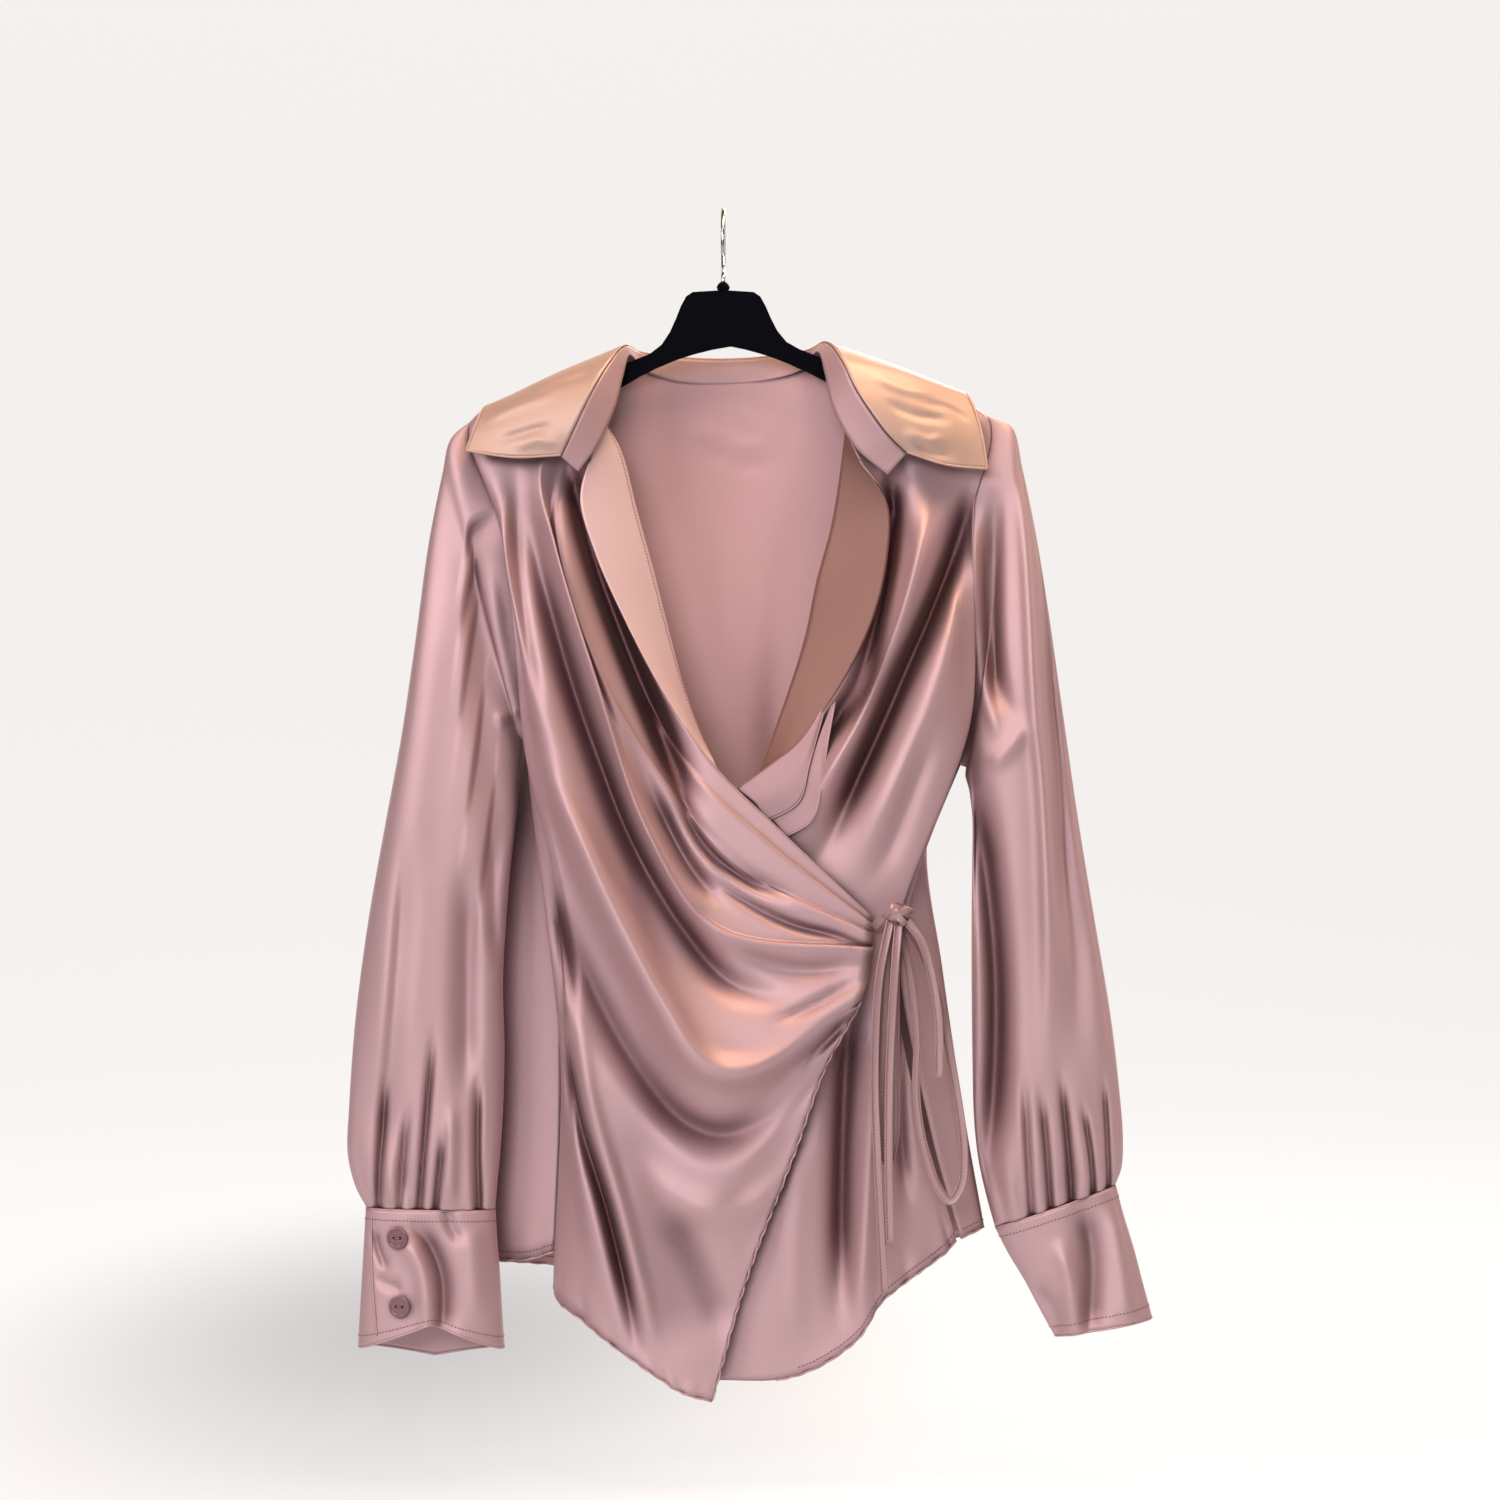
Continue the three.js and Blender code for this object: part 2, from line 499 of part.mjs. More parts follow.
// Sleeves: rings from an outer to an inner point, with the depth in front and behind
const HALF_RING = 20;
const SLEEVES = {
  left: {
    rings: [
      { outer: [-178.5, -149], inner: [-133, -346], front: 16, back: 14, step: 0.3 },
      { outer: [-184, -172], inner: [-132.5, -350], front: 14, back: 16, step: 0.37 },
      { outer: [-193, -218], inner: [-134, -366], front: 18, back: 19, step: 0.46 },
      { outer: [-202, -284], inner: [-136, -394], front: 21, back: 21, step: 0.62 },
      { outer: [-211, -345], inner: [-140, -430], front: 22, back: 21, step: 0.8 },
      { outer: [-222, -405], inner: [-143, -466], front: 22, back: 21, step: 1.2 },
      { outer: [-233, -468], inner: [-145, -506], front: 21, back: 20, step: 1.2 },
      { outer: [-241, -530], inner: [-144, -548], front: 21, back: 20, step: 1.2 },
      { outer: [-245, -585], inner: [-145, -590], front: 21, back: 20, step: 1.2 },
      { outer: [-246, -618], inner: [-147, -620], front: 21, back: 20, step: 1.2 },
      { outer: [-241, -639], inner: [-149, -641], front: 19, back: 19, step: 1.2 },
      { outer: [-234, -652.5], inner: [-150, -654], front: 17, back: 17, step: 1.2 },
    ],
    folds: [
      { line: [[-206, -380], [-212, -480], [-222, -600], [-228, -645]], width: 7, height: -6 },
      { line: [[-186, -300], [-188, -420], [-190, -520]], width: 12, height: 4 },
      { line: [[-192, -540], [-197, -600], [-200, -650]], width: 5, height: -4 },
    ],
  },
  right: {
    rings: [
      { outer: [189, -141], inner: [163, -366], front: 12, back: 14, step: 1.2 },
      { outer: [196, -168], inner: [159.5, -368], front: 14, back: 16, step: 1.2 },
      { outer: [205, -212], inner: [162, -380], front: 18, back: 19, step: 1.2 },
      { outer: [213, -262], inner: [164, -398], front: 21, back: 21, step: 1.2 },
      { outer: [222, -325], inner: [164, -424], front: 22, back: 21, step: 1.2 },
      { outer: [232, -395], inner: [163.5, -462], front: 22, back: 21, step: 1.2 },
      { outer: [243, -462], inner: [163.5, -506], front: 21, back: 20, step: 1.2 },
      { outer: [254, -528], inner: [164, -554], front: 21, back: 20, step: 1.2 },
      { outer: [260, -580], inner: [165, -594], front: 21, back: 20, step: 1.2 },
      { outer: [262, -608], inner: [168, -622], front: 21, back: 20, step: 1.2 },
      { outer: [261, -627], inner: [173, -645], front: 19, back: 19, step: 1.2 },
      { outer: [257, -638], inner: [178.5, -665], front: 17, back: 17, step: 1.2 },
    ],
    folds: [
      { line: [[206, -240], [213, -353], [215, -440], [213, -520], [206, -600]], width: 8, height: -9 },
      { line: [[192, -300], [198, -420], [196, -520], [188, -600]], width: 8, height: 4 },
      { line: [[168, -390], [180, -454], [178, -540], [174, -600]], width: 6, height: -4 },
    ],
  },
};
const PLATE_STEP = 8;
const GATHERS = 6;
const GATHER_DEPTHS = { 9: 0.8, 10: 1.6, 11: 2.2, 12: 0.4 };

// Depth of a flattened tube at a share of its width
function tubeDepth(share) {
  return Math.sqrt(Math.max(0, 1 - (2 * share - 1) ** 2)) ** 0.75;
}

function ringPoint(ring, index, gather) {
  const front = index <= HALF_RING;
  const turn = (front ? index : 2 * HALF_RING - index) / HALF_RING;
  const share = 0.5 - 0.5 * Math.cos(Math.PI * turn);
  const x = ring.outer[0] + (ring.inner[0] - ring.outer[0]) * share;
  const z = ring.outer[1] + (ring.inner[1] - ring.outer[1]) * share;
  const wave = gather * tubeDepth(share) * Math.cos(2 * Math.PI * GATHERS * turn);
  if (!front) {
    return v3(x, ring.back * tubeDepth(share) + wave, z);
  }
  const dropped = THREE.MathUtils.smoothstep(share, ring.step - 0.02, ring.step + 0.07);
  const depth = (ring.front - PLATE_STEP * dropped) * tubeDepth(share) + wave;
  return v3(x, -depth, z);
}

function armholeRing(rows, sign) {
  const front = alongLine(rows.map((row) => v3(row.x + sign * SEAM_SPACE, -row.front, row.z)), 1);
  const back = alongLine(rows.map((row) => v3(row.x + sign * SEAM_SPACE, row.back, row.z)), 1);
  const curves = [front, back].map((points) => new THREE.CatmullRomCurve3(points, false, 'centripetal'));
  const ring = [];
  for (let i = 0; i < 2 * HALF_RING; i += 1) {
    const inFront = i <= HALF_RING;
    const turn = (inFront ? i : 2 * HALF_RING - i) / HALF_RING;
    ring.push(curves[inFront ? 0 : 1].getPointAt(0.5 - 0.5 * Math.cos(Math.PI * turn)));
  }
  return ring;
}

function tube(rings) {
  return rings.map((ring) => {
    const points = [];
    for (let i = 0; i < 2 * HALF_RING; i += 1) {
      points.push(ringPoint(ring, i, ring.gather));
    }
    return points;
  });
}

// Rings run the other way round on the left, so that the wall's faces point out on both sides
for (const [side, { rings, folds }] of Object.entries(SLEEVES)) {
  const sign = side === 'left' ? -1 : 1;
  const withGathers = rings.map((ring, i) => ({ ...ring, gather: GATHER_DEPTHS[i + 1] || 0 }));
  const grid = [armholeRing(ARMHOLES[side], sign), ...tube(withGathers)];
  fold(grid, folds, (point) => point.y < -4);
  const ordered = side === 'left' ? grid : grid.map((row) => [...row].reverse());
  addPiece(`sleeve_${side}`, wall(ordered, CLOTH, true));
}

// Cuffs
const CUFFS = {
  left: {
    rings: [
      { outer: [-234, -653.2], inner: [-150, -654.8], front: 17, back: 17 },
      { outer: [-235, -672], inner: [-149, -673], front: 18, back: 18 },
      { outer: [-236.5, -698], inner: [-147, -699], front: 19, back: 19 },
      { outer: [-238, -724], inner: [-145.5, -725], front: 20, back: 20 },
      { outer: [-239, -744], inner: [-144, -745], front: 21, back: 21 },
    ],
    frontRise: 15,
    backDrop: 7,
  },
  right: {
    rings: [
      { outer: [257.2, -638.7], inner: [178.8, -665.8], front: 17, back: 17 },
      { outer: [262, -657], inner: [187, -682], front: 17, back: 17 },
      { outer: [269, -680], inner: [199, -702], front: 18, back: 18 },
      { outer: [275, -703], inner: [209, -721], front: 19, back: 19 },
      { outer: [281, -725], inner: [218, -737], front: 20, back: 20 },
    ],
    frontRise: 0,
    backDrop: 4,
  },
};
for (const [side, { rings, frontRise, backDrop }] of Object.entries(CUFFS)) {
  const shaped = rings.map((ring) => ({ ...ring, step: 1.2, gather: 0 }));
  const grid = tube(shaped);
  const last = grid.length - 1;
  grid.forEach((row, r) => row.forEach((point, c) => {
    const turn = c / HALF_RING;
    const lift = turn < 1 ? frontRise * Math.sin(Math.PI * turn) ** 3
      : -backDrop * Math.sin(Math.PI * (turn - 1)) ** 2;
    point.z += lift * (r / last) ** 3;
  }));
  const ordered = side === 'left' ? grid : grid.map((row) => [...row].reverse());
  addPiece(`cuff_${side}`, wall(ordered, CUFF_CLOTH, true));
}

// Buttons: two on the front of the left cuff, two on the back of the right one
const BUTTONS = {
  button_left_top: { at: [-212.5, -19.4, -671.5], turn: 0.24 },
  button_left_low: { at: [-211, -21.3, -716], turn: 0.24 },
  button_right_top: { at: [241, 19.2, -668], turn: 0.24 },
  button_right_low: { at: [255, 20.7, -706], turn: 0.24 },
};
const buttonOutline = roundSection(BUTTON_WIDTH, BUTTON_WIDTH, 16);
for (const side of [-1, 1]) {
  const hole = new THREE.Path();
  hole.absarc(side * 2, 0, 1, 0, 2 * Math.PI, true);
  buttonOutline.holes.push(hole);
}
for (const [name, { at, turn }] of Object.entries(BUTTONS)) {
  const geometry = new THREE.ExtrudeGeometry(buttonOutline, {
    depth: BUTTON_THICK, bevelEnabled: false, curveSegments: 4,
  });
  geometry.translate(0, 0, -BUTTON_THICK / 2);
  geometry.rotateX(Math.PI / 2);
  const button = addPiece(name, geometry, SATIN, 0.35);
  button.position.set(...at);
  button.rotation.z = -turn;
}

// Ties: a knot at the side, a short strap to the wrap and five hanging strands
const KNOT = { at: [113, -47, -459], size: [15, 11, 12] };
const knotGeometry = new THREE.SphereGeometry(0.5, 14, 10);
knotGeometry.scale(...KNOT.size);
const knot = addPiece('tie_knot', knotGeometry);
knot.position.set(...KNOT.at);

const STRANDS = {
  tie_strap: [[98, -38.6, -468], [101, -43, -464.5], [104.5, -45.8, -460.4]],
  tie_loop_right: [
    [118, -44.5, -464.6], [130, -43, -486], [141, -42, -520], [150, -41, -566], [156, -41, -612],
    [154, -41, -636], [147, -41, -645], [138, -41, -634], [128, -41, -600], [125, -41, -572],
    [126, -41.5, -540], [122, -42.5, -500], [114.5, -44, -467]],
  tie_loop_left: [
    [109.6, -48, -465.2], [106, -46, -490], [104, -44, -530], [102, -43, -575], [102.5, -43, -608],
    [107, -43, -620], [111, -43, -606], [111.5, -44, -560], [111.5, -46, -510], [111.5, -48.5, -467]],
  tie_end_right: [
    [118.6, -50, -463.4], [128, -50, -476], [135, -49, -500], [139.5, -48.5, -530], [139.5, -48, -565]],
  tie_end_left_short: [
    [113.5, -51.6, -464.4], [110.5, -55, -500], [107.5, -52, -560], [107, -51, -620], [108, -50, -672]],
  tie_end_left_long: [
    [108.2, -50.6, -463.4], [101, -52.5, -500], [98, -51, -560], [100, -50, -620], [102, -49, -660],
    [104.5, -48, -704]],
};
for (const [name, points] of Object.entries(STRANDS)) {
  const path = new THREE.CatmullRomCurve3(points.map((p) => v3(...p)), false, 'centripetal');
  const steps = Math.max(3, Math.round(path.getLength() / 20));
  addPiece(name, new THREE.ExtrudeGeometry(roundSection(STRAP_WIDTH, STRAP_THICK, 8), {
    steps, extrudePath: path,
  }));
}

export default garment;
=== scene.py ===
import bpy
import math
import numpy as np
from mathutils import Matrix, Vector


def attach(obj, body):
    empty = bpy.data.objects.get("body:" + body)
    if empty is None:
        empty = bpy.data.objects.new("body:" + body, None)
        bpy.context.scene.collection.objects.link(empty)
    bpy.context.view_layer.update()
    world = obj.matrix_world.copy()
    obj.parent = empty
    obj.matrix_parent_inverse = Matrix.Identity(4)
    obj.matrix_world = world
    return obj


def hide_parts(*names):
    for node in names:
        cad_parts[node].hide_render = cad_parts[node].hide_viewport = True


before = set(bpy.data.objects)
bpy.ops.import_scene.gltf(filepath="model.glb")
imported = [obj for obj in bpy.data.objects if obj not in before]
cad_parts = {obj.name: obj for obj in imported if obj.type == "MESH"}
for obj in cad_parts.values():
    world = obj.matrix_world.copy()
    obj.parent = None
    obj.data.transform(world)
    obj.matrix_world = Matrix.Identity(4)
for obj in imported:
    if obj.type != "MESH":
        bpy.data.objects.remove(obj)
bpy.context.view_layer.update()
mm = 0.001
tiny = 1e-9
rng = np.random.default_rng(7)
print("frame loaded")

# Camera, in metres; it stands square to the front of the top
view = {
    "centreX": 0.0176,
    "centreZ": -0.353,
    "away": 3.0,
    "clothAhead": 0.03,
    "frameWidth": 0.975,
    "sensor": 36.0,
}
lens = bpy.data.cameras.new("photoCamera")
lens.sensor_width = view["sensor"]
lens.lens = view["sensor"] * (view["away"] - view["clothAhead"]) / view["frameWidth"]
camera = bpy.data.objects.new("photoCamera", lens)
camera.location = (view["centreX"], -view["away"], view["centreZ"])
camera.rotation_euler = (math.pi / 2, 0, 0)
bpy.context.scene.collection.objects.link(camera)
bpy.context.scene.camera = camera
bpy.context.scene.view_settings.view_transform = "Standard"
print("camera made")


class Sock:
    # wraps an output socket, so that shader maths is written as Python
    def __init__(self, sheet, socket):
        self.sheet = sheet
        self.socket = socket

    def maths(self, kind, other, flip=False):
        pair = (other, self) if flip else (self, other)
        return self.sheet.add("Math", {"operation": kind}, {0: pair[0], 1: pair[1]})

    def __add__(self, other):
        return self.maths("ADD", other)

    def __sub__(self, other):
        return self.maths("SUBTRACT", other)

    def __rsub__(self, other):
        return self.maths("SUBTRACT", other, True)

    def __mul__(self, other):
        return self.maths("MULTIPLY", other)

    __radd__ = __add__
    __rmul__ = __mul__


class Finish:
    # one material and its nodes
    def __init__(self, name):
        self.material = bpy.data.materials.new(name)
        self.material.use_nodes = True
        self.tree = self.material.node_tree
        self.tree.nodes.clear()
        self.out = self.tree.nodes.new("ShaderNodeOutputMaterial")

    def add(self, kind, settings=None, inputs=None, output=0):
        node = self.tree.nodes.new("ShaderNode" + kind)
        for key, value in (settings or {}).items():
            setattr(node, key, value)
        for key, value in (inputs or {}).items():
            if isinstance(value, Sock):
                self.tree.links.new(value.socket, node.inputs[key])
            else:
                node.inputs[key].default_value = value
        return Sock(self, node.outputs[output])

    def softStep(self, value, low, high, atLow, atHigh):
        # from one number to another, softly, as the value goes from low to high
        return self.add("MapRange", {"interpolation_type": "SMOOTHSTEP"},
                        {0: value, 1: low, 2: high, 3: atLow, 4: atHigh})

    def mixColor(self, share, first, second):
        return self.add("Mix", {"data_type": "RGBA", "blend_type": "MIX"}, {0: share, 6: first, 7: second}, 2)

    def surface(self, **inputs):
        named = {key.replace("_", " "): value for key, value in inputs.items()}
        shader = self.add("BsdfPrincipled", {}, named)
        self.tree.links.new(shader.socket, self.out.inputs["Surface"])
        return self.material


def rgba(r, g, b):
    return (r, g, b, 1.0)


def toned(color, times, lift=0.0):
    return rgba(*[min(1, c * times + lift) for c in color])


satinLook = {
    "face": (0.52, 0.34, 0.36),
    "deep": (0.30, 0.12, 0.14),
    "metallic": 0.55,
    "roughness": 0.55,
    "crumple": 1.0,
    # the next three set the painted shade in folds: how much comes from ambient occlusion, how far that
    # looks, and its dark colour
    "crease": 0.9,
    "creaseReach": 0.022,
    "creaseColor": (0.06, 0.008, 0.011),
    "waveScale": 2600 / 6.28,
    "fineScale": 420.0,
    "broadScale": 9.0,
    "wrinkleScale": 26.0,
    "sheen": 0.18,
    "sheenColor": (1.0, 0.82, 0.74),
    "specular": 0.6,
    "toneSpread": 0.12,
}


def satin(name, **changes):
    look = {**satinLook, **changes}
    f = Finish(name)
    place = f.add("TexCoord", output=3)
    cloth = f.add("UVMap")
    broad = f.add("TexNoise", {}, {"Vector": place, "Scale": look["broadScale"], "Detail": 3.0})
    fine = f.add("TexNoise", {}, {"Vector": place, "Scale": look["fineScale"], "Detail": 2.0})
    weave = f.add("TexWave", {"wave_type": "BANDS", "bands_direction": "X"},
                  {"Vector": cloth, "Scale": look["waveScale"], "Distortion": 1.2})
    # turned from the eye the satin is deeper in colour. Painted shade: folds are coloured dark where ambient
    # occlusion finds little light gets in, and where the mesh's painted-shade attribute marks them as deep
    # troughs
    facing = f.add("LayerWeight", {}, {"Blend": 0.35}, 1)
    clear = f.add("AmbientOcclusion", {"samples": 6}, {"Distance": look["creaseReach"]}, 1)
    occlusionShade = f.softStep(clear, 0.35, 0.97, 1.0, 0.0)
    hollow = f.softStep(f.add("Attribute", {"attribute_name": "hollow"}, {}, 2), 0.15, 1.0, 0.0, 0.95)
    paintedShade = (occlusionShade * look["crease"]).maths("MAXIMUM", hollow)
    color = f.mixColor(facing * 0.6, rgba(*look["face"]), rgba(*look["deep"]))
    color = f.mixColor(paintedShade, color, rgba(*look["creaseColor"]))
    color = f.mixColor(broad * 0.25, color, toned(look["face"], 0.86))
    color = f.mixColor(fine * 0.12, color, toned(look["face"], 1.25))
    soft = f.add("TexNoise", {},
                 {"Vector": place, "Scale": look["wrinkleScale"], "Detail": 4.0, "Distortion": 0.6})
    wrinkle = f.add("Bump", {}, {"Strength": 0.035 * look["crumple"], "Distance": 0.004, "Height": soft})
    grain = f.add("Bump", {},
                  {"Strength": 0.10, "Distance": 0.0002, "Height": weave + fine * 0.8, "Normal": wrinkle})
    # where the shade is painted the metallic share goes up to 1, so that reflections there take the dark
    # colour too
    return f.surface(Base_Color=color, Normal=grain,
                     Metallic=hollow * (1 - look["metallic"]) + look["metallic"],
                     Roughness=broad * look["toneSpread"] + (look["roughness"] - look["toneSpread"] / 2),
                     Sheen_Weight=look["sheen"], Sheen_Roughness=0.4, Sheen_Tint=rgba(*look["sheenColor"]),
                     Specular_IOR_Level=look["specular"])


satinFront = satin("satin face")
satinInside = satin("satin inside", face=(0.50, 0.285, 0.295), deep=(0.40, 0.2, 0.2),
                    metallic=0.1, crumple=0.7, crease=0.6)
# the two facings are copies of one satin: the crossing front's is lighter, painted light, and the other is
# darker and browner, painted shade from the collar above it
satinFacingLit = satin("satin facing", face=(0.68, 0.47, 0.47), deep=(0.50, 0.28, 0.27),
                    roughness=0.5, metallic=0.3, crumple=0.6, crease=0.5)
satinShade = satin("satin facing in shade", face=(0.215, 0.098, 0.078), deep=(0.17, 0.07, 0.055),
                   roughness=0.5, metallic=0.3, crumple=0.6, crease=0.6)
# the collar's fall is given a tan-gold colour: painted warm light from above
satinCollarWarmLit = satin("satin collar", face=(0.49, 0.325, 0.27), deep=(0.44, 0.25, 0.21),
                    roughness=0.5, metallic=0.35, crumple=3.0, crease=0.4)
satinStand = satin("satin collar band", face=(0.46, 0.285, 0.30), deep=(0.36, 0.18, 0.2),
                   roughness=0.5, metallic=0.3, crumple=2.0, crease=0.4)
satinTie = satin("satin tie", face=(0.42, 0.26, 0.27), deep=(0.28, 0.13, 0.14),
                 roughness=0.45, metallic=0.35, crumple=0.4)


def plain(name, color, roughness, metallic=0.0, grain=300.0, strength=0.15, coat=0.0, specular=0.03):
    spread = 0.12
    f = Finish(name)
    place = f.add("TexCoord", output=3)
    noise = f.add("TexNoise", {}, {"Vector": place, "Scale": grain, "Detail": 3.0})
    tone = f.mixColor(noise * 0.3, rgba(*color), toned(color, 1.3, 0.001))
    bump = f.add("Bump", {}, {"Strength": strength, "Distance": 0.0003, "Height": noise})
    return f.surface(Base_Color=tone, Metallic=metallic, Roughness=noise * spread + (roughness - spread / 2),
                     Normal=bump, Coat_Weight=coat, Specular_IOR_Level=specular)


hangerBlack = plain("hanger black", (0.0008, 0.001, 0.003), 0.6)
hookSteel = plain("hook steel", (0.55, 0.55, 0.53), 0.22, 1.0, grain=900.0, strength=0.05, specular=0.5)
buttonPink = plain("button pink", (0.17, 0.075, 0.085), 0.2, 0.0, 180.0, 0.08, coat=0.8, specular=0.5)
threadPink = plain("thread pink", (0.26, 0.11, 0.12), 0.6, grain=2500.0, strength=0.4)
print("finishes made")


# Shapes from lines. Lines and meshes are in millimetres until they become pieces.
def unit(vectors):
    return vectors / np.maximum(np.linalg.norm(vectors, axis=-1, keepdims=True), tiny)


def lengthsAlong(points):
    return np.concatenate([[0], np.cumsum(np.linalg.norm(np.diff(points, axis=0), axis=1))])


def closed(ring):
    return np.concatenate([ring, ring[:1]])


def eased(share):
    share = np.clip(share, 0, 1)
    return share * share * (3 - 2 * share)


def alongLine(points, steps):
    # points along smooth lines; the first axis runs along the line
    points = np.asarray(points, float)
    count = len(points)
    ahead = 2 * points[-1] - points[-2]
    before = 2 * points[0] - points[1]
    padded = np.concatenate([before[None], points, ahead[None]])
    out = []
    for i in range(count - 1):
        p0, p1, p2, p3 = padded[i:i + 4]
        d0, d1, d2 = (np.maximum(np.linalg.norm(b - a, axis=-1, keepdims=True), tiny) ** 0.5
                      for a, b in ((p0, p1), (p1, p2), (p2, p3)))
        m1 = ((p1 - p0) / d0 - (p2 - p0) / (d0 + d1) + (p2 - p1) / d1) * d1
        m2 = ((p2 - p1) / d1 - (p3 - p1) / (d1 + d2) + (p3 - p2) / d2) * d1
        parts = steps[i] if hasattr(steps, "__len__") else steps
        for k in range(parts):
            w = k / parts
            bend = (3 * (p2 - p1) - 2 * m1 - m2) * w ** 2
            out.append(p1 + m1 * w + bend + (2 * (p1 - p2) + m1 + m2) * w ** 3)
    out.append(points[-1])
    return np.array(out)


def evenly(points, pitch):
    length = lengthsAlong(points[:, :3])
    places = np.arange(0, length[-1], pitch)
    return np.stack([np.interp(places, length, points[:, k]) for k in range(points.shape[1])], axis=1)


def panelGrid(lines, along, bands):
    # rows of points over a panel; each line runs down the cloth, each band joins some of the lines
    drawn = alongLine(np.swapaxes(np.array(lines, float), 0, 1), along)
    rows = []
    for first, last, steps in bands:
        across = alongLine(np.swapaxes(drawn[:, first:last + 1], 0, 1), steps)
        rows.extend(across if not rows else across[1:])
    return np.array(rows)


# painted shade from the folds: ridges take some away, and it is full where troughs lie this many millimetres
# deep
foldShape = {"endFade": 3.5, "ridgeShade": -0.4, "fullShadeDepth": 13}


def fold(grid, folds, keep=None):
    # soft ridges (height above nought) and troughs, each along a line seen from the front;
    # gives back how much painted shade each point gets, from 0 to 1: most in deep troughs, less beside ridges
    hollow = np.zeros(grid.shape[:2])
    for line, width, height, *lean in folds:
        path = alongLine(line, 5)
        start = path[:-1]
        way = path[1:] - start
        flat = grid.reshape(-1, 3)[:, [0, 2]]
        free = np.clip(((flat[:, None] - start) * way).sum(2) / (way ** 2).sum(1), 0, 1)
        off = flat[:, None] - start - way * free[..., None]
        away = np.hypot(off[..., 0], off[..., 1])
        best = away.argmin(1)
        pick = np.arange(len(flat))
        where = (best + free[pick, best]) / len(way)
        side = np.sign(way[best, 0] * off[pick, best, 1] - way[best, 1] * off[pick, best, 0])
        reach = width * (1 + (lean[0] if lean else 0) * side)
        rise = foldShape["endFade"]
        fade = eased(np.clip(rise * where, 0, 1) * np.clip(rise * (1 - where), 0, 1))
        size = height * fade * np.exp(-(away[pick, best] / reach) ** 2)
        if keep is not None:
            size = size * keep(grid.reshape(-1, 3))
        grid[..., 1] -= size.reshape(hollow.shape)
        hollow += size.reshape(hollow.shape) * (-1 if height < 0 else foldShape["ridgeShade"])
    return np.clip(hollow / foldShape["fullShadeDepth"], 0, 1)


def pieceName(node):
    first, *others = node.split("_")
    return first + "".join(word.title() for word in others)


def tubeFaces(rows, sides):
    last = (rows - 1) * sides
    faces = [(r + c, r + (c + 1) % sides, r + sides + (c + 1) % sides, r + sides + c)
             for r in range(0, last, sides) for c in range(sides)]
    return faces + [tuple(reversed(range(sides))), tuple(range(last, last + sides))]


def meshPiece(name, points, faces, finish, node=None, on=None, smooth=True):
    # a new piece rides on the part's one body, or goes with the piece that it is on
    mesh = bpy.data.meshes.new(name)
    mesh.from_pydata((np.asarray(points) * mm).tolist(), [], faces)
    mesh.polygons.foreach_set("use_smooth", [smooth] * len(faces))
    mesh.materials.append(finish)
    piece = bpy.data.objects.new(name, mesh)
    bpy.context.scene.collection.objects.link(piece)
    if on:
        piece.parent = on
    else:
        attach(piece, "root")
    if node:
        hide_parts(node)
    return piece


def clothPiece(name, grid, finish, node=None, thick=0.8, ring=False, hollow=None,
               reverse=None, on=None):
    # a thin shell on a grid of points, which is closed round when it is a ring
    rows, cols = grid.shape[:2]
    spans = cols if ring else cols - 1
    faces = [(r + c, r + cols + c, r + cols + (c + 1) % cols, r + (c + 1) % cols)
             for r in range(0, (rows - 1) * cols, cols) for c in range(spans)]
    piece = meshPiece(name, grid.reshape(-1, 3), faces, finish, node, on)
    down = lengthsAlong(grid.mean(1)) * mm
    wide = lengthsAlong(grid[rows // 2]) * mm
    wide = np.append(wide, wide[-1] * cols / max(1, cols - 1))
    uv = []
    for r in range(rows - 1):
        for c in range(spans):
            uv += [wide[c], down[r], wide[c], down[r + 1], wide[c + 1], down[r + 1], wide[c + 1], down[r]]
    piece.data.uv_layers.new(name="cloth").data.foreach_set("uv", uv)
    # the folds' painted shade, stored on the points for the satin's colour
    if hollow is not None:
        piece.data.attributes.new("hollow", "FLOAT", "POINT").data.foreach_set("value", hollow.ravel())
    wall = piece.modifiers.new("wall", "SOLIDIFY")
    wall.thickness = thick * mm
    wall.offset = 0
    wall.use_even_offset = False
    if reverse:
        # the cloth's other side
        piece.data.materials.append(reverse)
        wall.material_offset = 1
    return piece


def roundTube(name, path, radius, finish, node=None, sides=16, on=None):
    # its section is carried along the path without twisting
    path = np.asarray(path, float)
    ahead = unit(np.gradient(path, axis=0))
    side = np.cross(ahead[0], (0.3, 1, 0.2))
    turn = 2 * math.pi * np.arange(sides)[:, None] / sides
    rings = []
    for place, way in zip(path, ahead):
        side = side - way * side.dot(way)
        side /= np.linalg.norm(side)
        rings.append(place + (np.cos(turn) * side + np.sin(turn) * np.cross(way, side)) * radius)
    return meshPiece(name, np.concatenate(rings), tubeFaces(len(path), sides), finish, node, on)


def gridNormals(grid):
    return unit(np.cross(np.gradient(grid, axis=1), np.gradient(grid, axis=0)))


def ripple(rows, amount, every=3):
    # small uneven waves in the last rows of a hem
    count = rows.shape[1]
    knots = np.arange(0, count + every, every)
    wave = np.interp(np.arange(count), knots, rng.normal(0, 1, len(knots)))
    wave = np.convolve(np.pad(wave, 1, "edge"), (0.25, 0.5, 0.25), "valid")
    for k, share in enumerate((1, 0.6, 0.2)):
        rows[-1 - k, :, 1] += wave * amount * share


def inset(rows, distance):
    # a line on the cloth at a set distance from its last row
    return rows[-1] + unit(rows[-3] - rows[-1]) * distance


